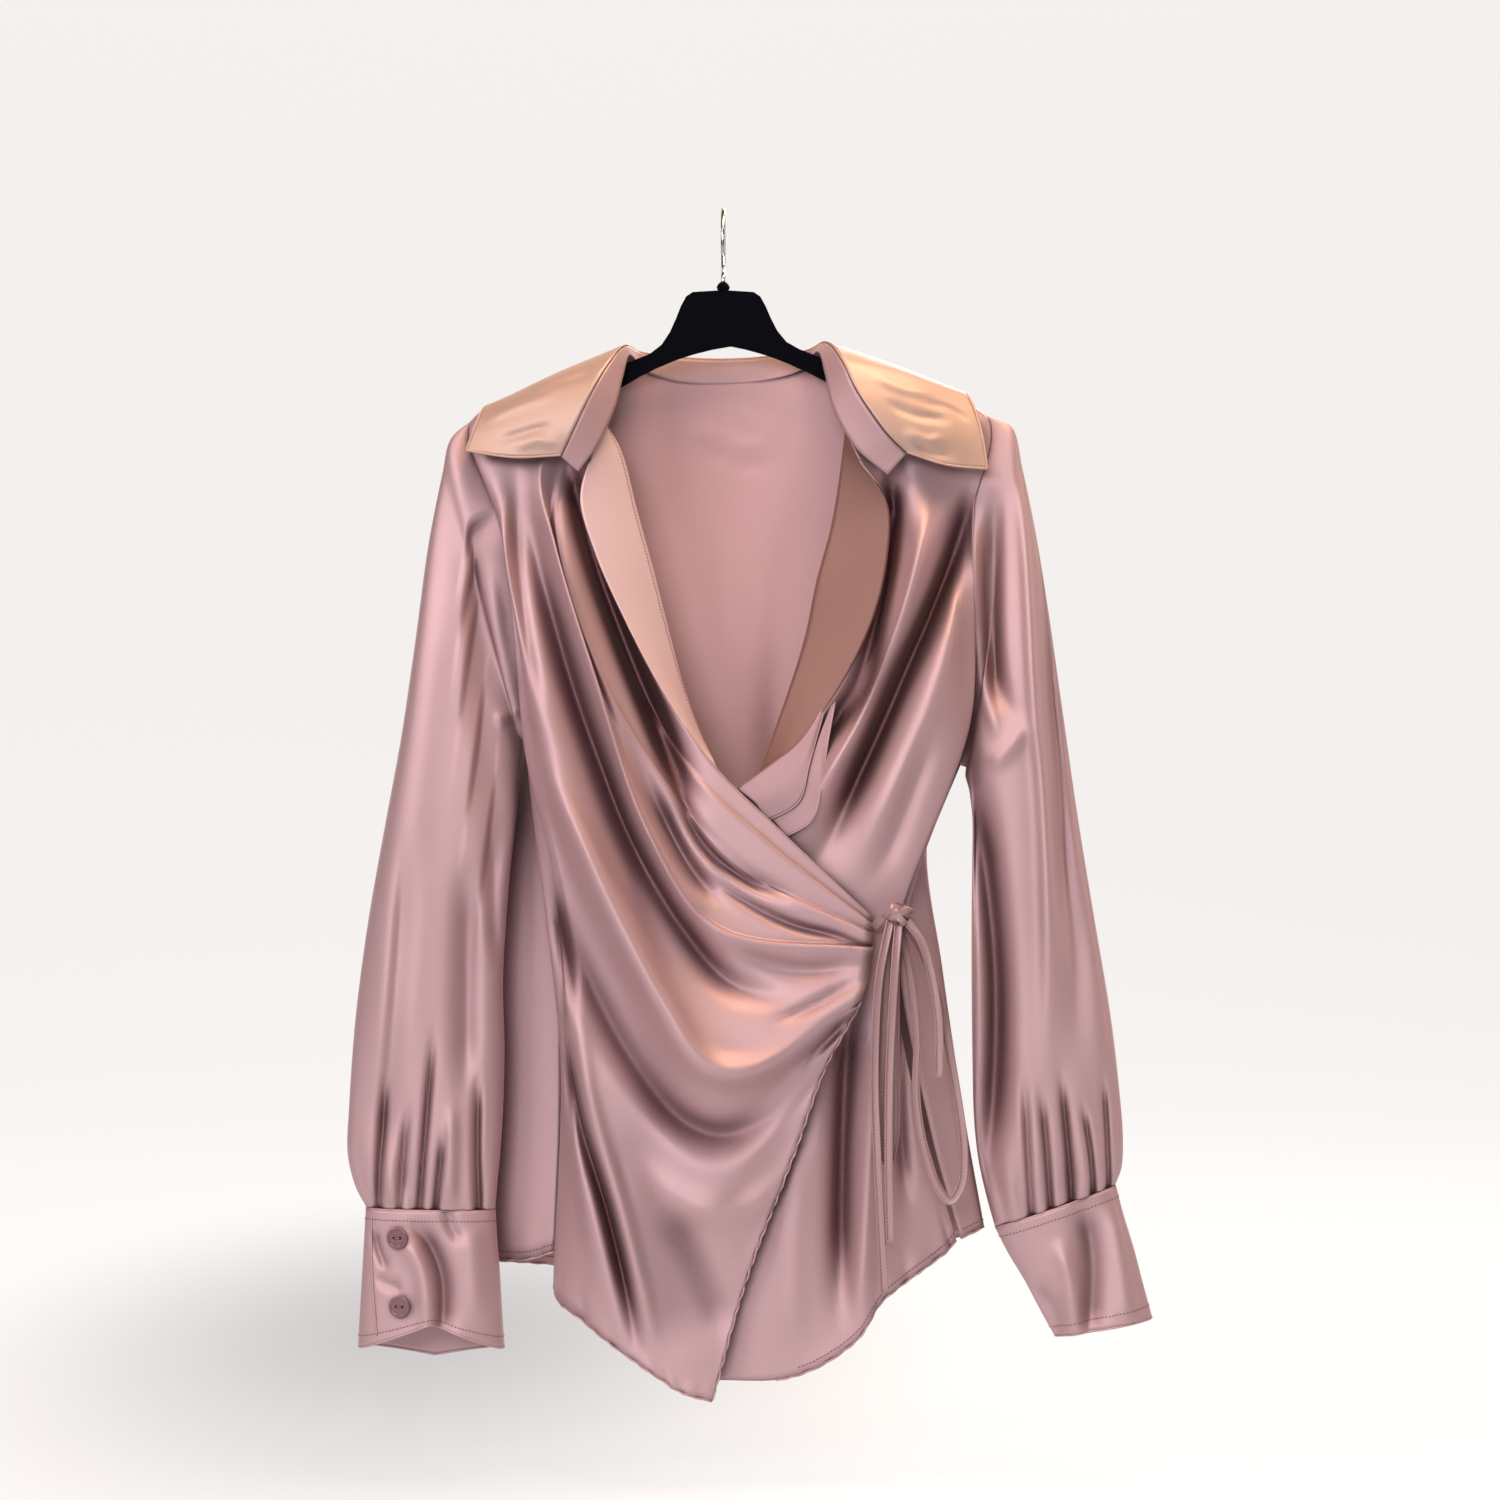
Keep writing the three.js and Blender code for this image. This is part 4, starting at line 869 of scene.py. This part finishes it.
standFoot = seamLine - (0, 0, collar["seamDrop"]) * np.clip((seamLine[:, 1:2] + 5) / 15, 0, 1)
standGrid = panelGrid([standFoot, rollLine], 10, [(0, 1, 8)])
clothPiece("collarStand", standGrid, satinStand, "collar_stand", collar["wall"])
fallTop = rollLine.copy()
fallTop[:, 1] += np.clip(rollLine[:, 1] / 15, -1, 1)
fallTop[:, 2] += collar["rise"]
# half way the fall is rounded, outward at the front and the back, and it sinks at its two ends
bulge = np.where(fallEdge[:, 1:2] > 1, (0, 3, 2), (0, -3, 2))
bulge[[0, -1]] = (0, -2, -3)
fallGrid = panelGrid([fallTop, (fallTop + fallEdge) / 2 + bulge, fallEdge], 10, [(0, 2, 14)])
fold(fallGrid, collar["wrinkles"], lambda points: points[:, 1] < collar["wrinklesBefore"])
fallCloth = clothPiece("collarFall", fallGrid, satinCollarWarmLit, "collar_fall", collar["wall"])
fallBorder = np.concatenate([fallGrid[:, 0], fallGrid[-1, 1:-1], fallGrid[::-1, -1]])
edgeRoll("collarEdge", fallCloth, fallBorder, 0.85, finish=satinCollarWarmLit)
print("collar made")

# Sleeves and cuffs
sleeves = {
    "left": {
        "rings": [
            # outer, inner, front depth, back depth, where the front plate folds over, gather height
            ((-178.5, -149), (-133, -346), 16, 14, 0.3, 0),
            ((-184, -172), (-132.5, -350), 14, 16, 0.37, 0),
            ((-193, -218), (-134, -366), 18, 19, 0.46, 0),
            ((-202, -284), (-136, -394), 21, 21, 0.62, 0),
            ((-211, -345), (-140, -430), 22, 21, 0.8, 0),
            ((-222, -405), (-143, -466), 22, 21, 1.2, 0),
            ((-233, -468), (-145, -506), 21, 20, 1.2, 0),
            ((-241, -530), (-144, -548), 21, 20, 1.2, 0),
            ((-245, -585), (-145, -590), 21, 20, 1.2, 0.5),
            ((-246, -618), (-147, -620), 21, 20, 1.2, 1.2),
            ((-241, -639), (-149, -641), 19, 19, 1.2, 2.2),
            ((-234, -652.5), (-150, -654), 17, 17, 1.2, 1.2),
        ],
        "frontEdge": overGrid[63:100, 0],
        "backEdge": backGrid[35::-1, 0],
        "folds": [
            ([(-206, -400), (-211, -480), (-219, -580), (-224, -645)], 7, -5, 0.3),
            ([(-190, -200), (-198, -300), (-208, -400), (-216, -520), (-226, -600)], 16, 6),
            ([(-166, -420), (-168, -500), (-168, -590)], 8, -7),
            ([(-188, -530), (-195, -610), (-200, -672)], 2.4, -7),
            ([(-182, -600), (-186, -637), (-190, -672)], 2.2, -6),
            ([(-160, -560), (-161, -620), (-160, -676)], 2.8, -7),
            ([(-177, -580), (-177, -620), (-178, -652)], 4, 3),
            ([(-205, -580), (-210, -630), (-213, -672)], 2.6, -5),
            ([(-220, -560), (-224, -620), (-226, -672)], 2.8, -6),
            ([(-157, -210), (-148, -280), (-137, -325), (-130, -336)], 6, 4),
            ([(-150, -335), (-142, -332), (-133, -328)], 4, 3),
            ([(-150, -400), (-151, -450), (-147, -500)], 5, -4),
        ],
    },
    "right": {
        "rings": [
            ((189, -141), (163, -366), 12, 14, 1.2, 0),
            ((196, -168), (159.5, -368), 14, 16, 1.2, 0),
            ((205, -212), (162, -380), 18, 19, 1.2, 0),
            ((213, -262), (164, -398), 21, 21, 1.2, 0),
            ((222, -325), (164, -424), 22, 21, 1.2, 0),
            ((232, -395), (163.5, -462), 22, 21, 1.2, 0),
            ((243, -462), (163.5, -506), 21, 20, 1.2, 0),
            ((254, -528), (164, -554), 21, 20, 1.2, 0),
            ((260, -580), (165, -594), 21, 20, 1.2, 0.5),
            ((262, -608), (168, -622), 21, 20, 1.2, 1.2),
            ((261, -627), (173, -645), 19, 19, 1.2, 2.2),
            ((257, -638), (178.5, -665), 17, 17, 1.2, 1.2),
        ],
        "frontEdge": underGrid[48:85, 0],
        "backEdge": backGrid[105:134, 0],
        "folds": [
            ([(212, -240), (218, -320), (226, -400), (230, -480), (232, -560)], 9, -4, 0.3),
            ([(190, -150), (197.6, -211), (203, -322), (208.6, -380), (212, -480),
                (210, -580)], 7, 7, 0.3),
            ([(202, -170), (210, -240), (216, -330), (222, -420), (226, -500)], 6, -6, -0.2),
            ([(179, -175), (177, -230), (176, -290), (178, -340)], 6, -9),
            ([(163, -350), (172, -420), (179, -500), (178, -580), (172, -660)], 9, -15),
            ([(232, -350), (240, -440), (248, -530), (250, -600)], 12, 3),
            ([(220, -560), (226, -620), (230, -674)], 2.4, -7),
            ([(234, -580), (240, -620), (243, -668)], 2.3, -6),
            ([(207, -570), (212, -625), (216, -676)], 2.4, -6),
            ([(196, -560), (200, -630), (204, -682)], 2.6, -5),
            ([(248, -560), (251, -610), (253, -664)], 2.3, -5),
            ([(176, -190), (174, -240), (182, -310), (190, -340)], 5, -5),
            ([(168, -262), (172, -310), (180, -350)], 4, 3),
            ([(172, -366), (186, -352), (204, -330)], 5, 3),
        ],
    },
}
cuffs = {
    "left": {
        "rings": [((-234, -653.2), (-150, -654.8), 17, 17, 1.2, 0), ((-235, -672),
            (-149, -673), 18, 18, 1.2, 0), ((-236.5, -698), (-147, -699), 19, 19, 1.2, 0), ((-238, -724),
            (-145.5, -725), 20, 20, 1.2, 0), ((-239, -744), (-144, -745), 21, 21, 1.2, 0)],
        "frontRise": 17, "backDrop": 8,
        "overlap": [(-230, -656), (-230, -676), (-229, -700), (-226, -736)],
        "folds": [([(-206, -658), (-193, -676), (-185, -696), (-184, -722), (-188, -750)], 6, -8, 0.3),
            ([(-214, -668), (-200, -684), (-194, -704), (-193, -750)], 6, 4), ([(-165, -664), (-163, -690),
            (-160, -736)], 8, 3), ([(-228, -696), (-218, -702), (-208, -704)], 3, -3), ([(-228, -664),
            (-225, -680), (-218, -694)], 3, -4), ([(-180, -650), (-178, -664), (-170, -676)], 4, -3)],
    },
    "right": {
        "rings": [((257.2, -638.7), (178.8, -665.8), 17, 17, 1.2, 0), ((262, -657),
            (187, -682), 17, 17, 1.2, 0), ((269, -680), (199, -702), 18, 18, 1.2, 0), ((275, -703),
            (209, -721), 19, 19, 1.2, 0), ((281, -725), (218, -737), 20, 20, 1.2, 0)],
        "frontRise": 0, "backDrop": 4,
        "folds": [([(234, -640), (241, -690), (238, -750)], 8, -8), ([(200, -700), (216, -716),
            (226, -750)], 7, -5), ([(218, -670), (227, -705), (228, -750)], 6, 4), ([(254, -640),
            (262, -690), (266, -740)], 7, 3)],
    },
}


def tubeDepth(share):
    # how deep a flattened tube is, from its outer edge to its inner one
    return np.sqrt(np.maximum(0, 1 - (2 * share - 1) ** 2)) ** 0.75


# a ring runs along the front of the tube to its inner edge, and back behind it
halfRing = 90
ringIndex = np.arange(2 * halfRing)
ringFront = ringIndex <= halfRing
ringTurn = np.where(ringFront, ringIndex, 2 * halfRing - ringIndex) / halfRing
ringShare = 0.5 - 0.5 * np.cos(np.pi * ringTurn)
plate = {"step": 8, "before": 0.02, "width": 0.035}


def ringPoints(ring, phases):
    (outerX, outerZ), (innerX, innerZ), front, behind, plateEdge, gather = ring
    x = outerX + (innerX - outerX) * ringShare
    z = outerZ + (innerZ - outerZ) * ringShare
    depth = tubeDepth(ringShare)
    wave = sum(np.cos(2 * math.pi * n * ringTurn + turn) * height for n, height, turn in phases)
    wave = gather * depth * wave
    dropped = plate["step"] * eased((ringShare - plateEdge + plate["before"]) / plate["width"])
    y = np.where(ringFront, (dropped - front) * depth - wave, behind * depth + wave)
    return np.stack([x, y, z], axis=1)


def armholeRing(frontEdge, backEdge, outward):
    # the sleeve's first ring runs along the armhole edges of the two panels, just outside them
    halves = []
    for edge in (frontEdge, backEdge):
        length = lengthsAlong(edge)
        length /= length[-1]
        halves.append(np.stack([np.interp(ringShare, length, edge[:, k]) for k in range(3)], axis=1))
    return np.where(ringFront[:, None], halves[0], halves[1]) + (outward, 0, 0)


def onFront(points):
    return np.clip((-points[:, 1] - 3) / 6, 0, 1)


def onBack(points):
    return np.clip((points[:, 1] - 3) / 6, 0, 1)


# gathers at the cuffs, uneven: waves round half a ring, height, turn
gatherWaves = [(3, 0.6, 0.4), (5, 0.5, 1.7), (8, 0.35, 0.9)]
# the folds of a sleeve's back: those of its front, moved to the side, turned over and softer
backFold = {"aside": 6, "times": -0.8}
for side, sleeve in sleeves.items():
    inOrder = slice(None, None, 1 if side == "left" else -1)
    rings = [armholeRing(sleeve["frontEdge"], sleeve["backEdge"], -0.3 if side == "left" else 0.3)]
    rings += [ringPoints(ring, gatherWaves) for ring in sleeve["rings"]]
    grid = alongLine(np.array(rings), 9)
    hollow = fold(grid, sleeve["folds"], onFront)
    fold(grid, [([(x + backFold["aside"], z) for x, z in line], width, backFold["times"] * height)
                for line, width, height, *_ in sleeve["folds"]], onBack)
    # the sleeve carries most of its front folds' painted shade
    cloth = clothPiece("sleeve" + side.title(), grid[:, inOrder], satinFront, "sleeve_" + side, ring=True,
                       hollow=hollow[:, inOrder] * 0.8)
    edgeRoll("armholeSeam" + side.title(), cloth, closed(rings[0]), 0.6)
for side, cuff in cuffs.items():
    inOrder = slice(None, None, 1 if side == "left" else -1)
    grid = alongLine(np.array([ringPoints(ring, [(1, 0, 0)]) for ring in cuff["rings"]]), 8)
    # the mouth rises like a tent at the front and drops at the back
    tent = np.clip(1 - np.abs(2 * ringShare - 1.02), 0, 1) ** 1.15
    lift = np.where(ringIndex < halfRing, cuff["frontRise"] * tent, -cuff["backDrop"] * tent)
    grid[:, :, 2] += lift * np.linspace(0, 1, len(grid))[:, None] ** 3
    hollow = fold(grid, cuff["folds"], onFront)
    # the cuff carries all of its folds' painted shade
    cloth = clothPiece("cuff" + side.title(), grid[:, inOrder], satinFront, "cuff_" + side, 1.2, True,
                       hollow=hollow[:, inOrder])
    edgeRoll("cuffEdge" + side.title(), cloth, closed(grid[-1]), 0.8)
    edgeRoll("cuffSeam" + side.title(), cloth, closed(grid[0]), 0.7)
    for row, label in ((3, "Top"), (-4, "Low")):
        normals = gridNormals(grid)[row]
        outward = grid[row] - grid[row].mean(0)
        normals *= np.sign((normals * outward).sum(1, keepdims=True))
        stitches("cuffStitch" + label + side.title(), cloth, grid[row], normals,
                 pitch=2.4, long=1.5, lift=0.8)
    if "overlap" in cuff:
        edgeRoll("cuffOverlap" + side.title(), cloth, layOn(grid, cuff["overlap"], lift=0.7), 0.7)
print("sleeves and cuffs made")

# a row of stitches beside one edge of each tie
stitchesFromMiddle = 1.5
for tie, path in tiePaths:
    front = np.tile((0.0, -1.0, 0.0), (len(path), 1))
    across = unit(np.cross(np.gradient(path, axis=0), front))
    stitches(tie.name + "Stitch", tie, path + across * stitchesFromMiddle, front,
             pitch=2.2, long=1.4, lift=0.8)
print("ties stitched")

# Hanger and hook
for name in ("hanger", "hook_boss"):
    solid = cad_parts[name]
    solid.data.materials.clear()
    solid.data.materials.append(hangerBlack)

# the wire rises from the boss and bends into an arc, whose first and last angles are given
hook = {"wire": 3, "inner": 19.5, "foot": -45.6, "first": -0.9, "last": math.pi + 0.45}
hookRadius = hook["inner"] + hook["wire"] / 2
hookRoute = [(0, 0, hook["foot"]), (0, 0.6, hook["foot"] + 3), (0, 5, hook["foot"] + 6)]
hookRoute += [(0, hookRadius * math.cos(a), -hook["inner"] + hookRadius * math.sin(a))
              for a in np.linspace(hook["first"], hook["last"], 13)]
roundTube("hookWire", alongLine(hookRoute, 8), hook["wire"] / 2, hookSteel, "hook")

# Buttons: a disc with two holes, a raised rim, and the thread between the holes
button = {
    "radius": 7.0,
    "halfThick": 0.95,
    "bevel": 0.35,
    "holes": [(-2, 0, 1.0), (2, 0, 1.0)],
    "rimInner": 5.1,
    "rimHalfThick": 0.55,
    "rimBevel": 0.4,
    "rimRise": 0.75,
    "threadRadius": 0.42,
    "thread": [(-2, 0, -0.9), (-1.7, 0, 1.15), (-0.6, 0, 1.45), (0.6, 0, 1.45), (1.7, 0, 1.15), (2, 0, -0.9)],
    "turn": 0.24,
    # middle, and the side that it faces: -1 for the front, 1 for the back
    "places": {
        "button_left_top": ((-212.5, -19.4, -671.5), -1),
        "button_left_low": ((-211, -21.3, -716), -1),
        "button_right_top": ((241, 19.2, -668), 1),
        "button_right_low": ((255, 20.7, -706), 1),
    },
}


def circle(curve, x, y, radius, sides):
    spline = curve.splines.new("POLY")
    spline.points.add(sides - 1)
    for k, point in enumerate(spline.points):
        a = 2 * math.pi * k / sides
        point.co = ((x + radius * math.cos(a)) * mm, (y + radius * math.sin(a)) * mm, 0, 1)
    spline.use_cyclic_u = True


def flatDisc(name, holes, halfThick, bevel):
    curve = bpy.data.curves.new(name, "CURVE")
    curve.dimensions = "2D"
    curve.fill_mode = "BOTH"
    curve.extrude = (halfThick - bevel) * mm
    curve.bevel_depth = bevel * mm
    curve.bevel_resolution = 3
    curve.offset = -bevel * mm
    circle(curve, 0, 0, button["radius"], 48)
    for x, y, radius in holes:
        circle(curve, x, y, radius, 16)
    curve.materials.append(buttonPink)
    disc = bpy.data.objects.new(name, curve)
    bpy.context.scene.collection.objects.link(disc)
    return disc


for node, (middle, outward) in button["places"].items():
    name = pieceName(node)
    disc = flatDisc(name, button["holes"], button["halfThick"], button["bevel"])
    rim = flatDisc(name + "Rim", [(0, 0, button["rimInner"])], button["rimHalfThick"], button["rimBevel"])
    thread = roundTube(name + "Thread", button["thread"], button["threadRadius"], threadPink)
    upright = Matrix.Rotation(-outward * math.pi / 2, 4, "X")
    where = Matrix.Translation([c * mm for c in middle]) @ Matrix.Rotation(-button["turn"], 4, "Z") @ upright
    disc.matrix_world = where
    rim.matrix_world = where @ Matrix.Translation((0, 0, button["rimRise"] * mm))
    thread.matrix_world = where
    for piece in (disc, rim, thread):
        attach(piece, "root")
    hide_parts(node)
print("hanger, hook and buttons made")

# Stage, in metres: a pale floor that curves up into the wall
stage = {
    "floorZ": -0.835,
    "floorY": (-4.5, -0.8, 0.6),
    "wallY": 4.2,
    "curve": 1.8,
    "curveSteps": 16,
    "half": 5.0,
    "top": 4.0,
    "paper": (0.13, 0.13, 0.14),
    "paperDark": (0.12, 0.12, 0.13),
    "glow": 0.9,
    "glowFrom": -2.4,
    "glowTo": -0.4,
    "glowColor": (0.93, 0.90, 0.875),
    "darkColor": (0.10, 0.10, 0.10),
    "shadeMiddle": (-0.25, 0.78, -0.835),
    "shadeStretch": (2.1, 0.75, 0.9),
    "shadeColor": (0.36, 0.37, 0.385),
    "shadeStrength": 0.85,
}


def studioPaper():
    # it glows softly behind the top, and the wide soft shade at the lower left is painted on it
    f = Finish("studio paper")
    place = f.add("TexCoord", output=3)
    back = f.add("SeparateXYZ", {}, {"Vector": place}, 1)
    grain = f.add("TexNoise", {}, {"Vector": place, "Scale": 3.0})
    glow = f.softStep(back, stage["glowFrom"], stage["glowTo"], 0.0, 1.0)
    glowColor = f.mixColor(glow, rgba(*stage["darkColor"]), rgba(*stage["glowColor"]))
    fromShade = f.add("VectorMath", {"operation": "SUBTRACT"}, {0: place, 1: stage["shadeMiddle"]})
    fromShade = f.add("VectorMath", {"operation": "MULTIPLY"}, {0: fromShade, 1: stage["shadeStretch"]})
    away = f.add("VectorMath", {"operation": "LENGTH"}, {0: fromShade}, 1)
    shade = f.softStep(away, 0.0, 1.0, stage["shadeStrength"], 0.0)
    paper = f.mixColor(grain * 0.2, rgba(*stage["paper"]), rgba(*stage["paperDark"]))
    return f.surface(Base_Color=paper, Roughness=0.9, Emission_Strength=stage["glow"],
                     Emission_Color=f.mixColor(shade, glowColor, rgba(*stage["shadeColor"])))


def studioSweep():
    profile = [(y, stage["floorZ"]) for y in stage["floorY"]]
    for k in range(stage["curveSteps"] + 1):
        a = math.pi / 2 * k / stage["curveSteps"]
        profile.append((stage["wallY"] - stage["curve"] + stage["curve"] * math.sin(a),
                        stage["floorZ"] + stage["curve"] * (1 - math.cos(a))))
    profile.append((stage["wallY"], stage["top"]))
    count = len(profile)
    points = [(x, y, z) for x in (-stage["half"], stage["half"]) for y, z in profile]
    mesh = bpy.data.meshes.new("studioSweep")
    mesh.from_pydata(points, [], [(i, i + 1, count + i + 1, count + i) for i in range(count - 1)])
    mesh.polygons.foreach_set("use_smooth", [True] * (count - 1))
    mesh.materials.append(studioPaper())
    sweep = bpy.data.objects.new("studioSweep", mesh)
    bpy.context.scene.collection.objects.link(sweep)


def studioAir(low, lowColor, high, highColor, strength):
    # light from all round, brighter from above
    world = bpy.data.worlds.new("studio")
    world.use_nodes = True
    air = world.node_tree.nodes
    direction = air.new("ShaderNodeTexCoord")
    height = air.new("ShaderNodeSeparateXYZ")
    tone = air.new("ShaderNodeValToRGB")
    for stop, place, color in zip(tone.color_ramp.elements, (low, high), (lowColor, highColor)):
        stop.position = place
        stop.color = rgba(*color)
    world.node_tree.links.new(direction.outputs["Generated"], height.inputs[0])
    world.node_tree.links.new(height.outputs[2], tone.inputs[0])
    world.node_tree.links.new(tone.outputs[0], air["Background"].inputs[0])
    air["Background"].inputs[1].default_value = strength
    bpy.context.scene.world = world


def softLight(name, place, aim, size, power, color):
    lamp = bpy.data.lights.new(name, "AREA")
    lamp.shape = "RECTANGLE"
    lamp.size, lamp.size_y = size
    lamp.energy = power
    lamp.color = color
    item = bpy.data.objects.new(name, lamp)
    item.location = place
    item.rotation_euler = (Vector(aim) - Vector(place)).to_track_quat("-Z", "Y").to_euler()
    bpy.context.scene.collection.objects.link(item)


studioSweep()
studioAir(0.42, (0.10, 0.10, 0.11), 0.95, (0.62, 0.60, 0.58), 0.16)
# name, place, aim, size, power, colour
softLight("warmTop", (0.32, -0.35, 0.95), (0, -0.02, -0.35), (1.1, 0.6), 23, (1.0, 0.74, 0.48))
softLight("frontSoft", (-0.8, -3.3, 0.6), (0, 0, -0.4), (2.0, 1.1), 60, (0.97, 0.95, 1.0))
softLight("keyLeft", (-1.7, -1.3, 0.7), (0, 0, -0.4), (0.7, 1.2), 22, (1.0, 0.90, 0.88))
softLight("backSoft", (0.9, 2.0, 1.1), (0, 0, -0.4), (1.0, 0.6), 34, (1.0, 0.92, 0.86))
softLight("rimRight", (1.8, 0.1, 0.2), (0.1, 0, -0.45), (0.4, 1.2), 7, (1.0, 0.86, 0.80))
print("stage and lights made")
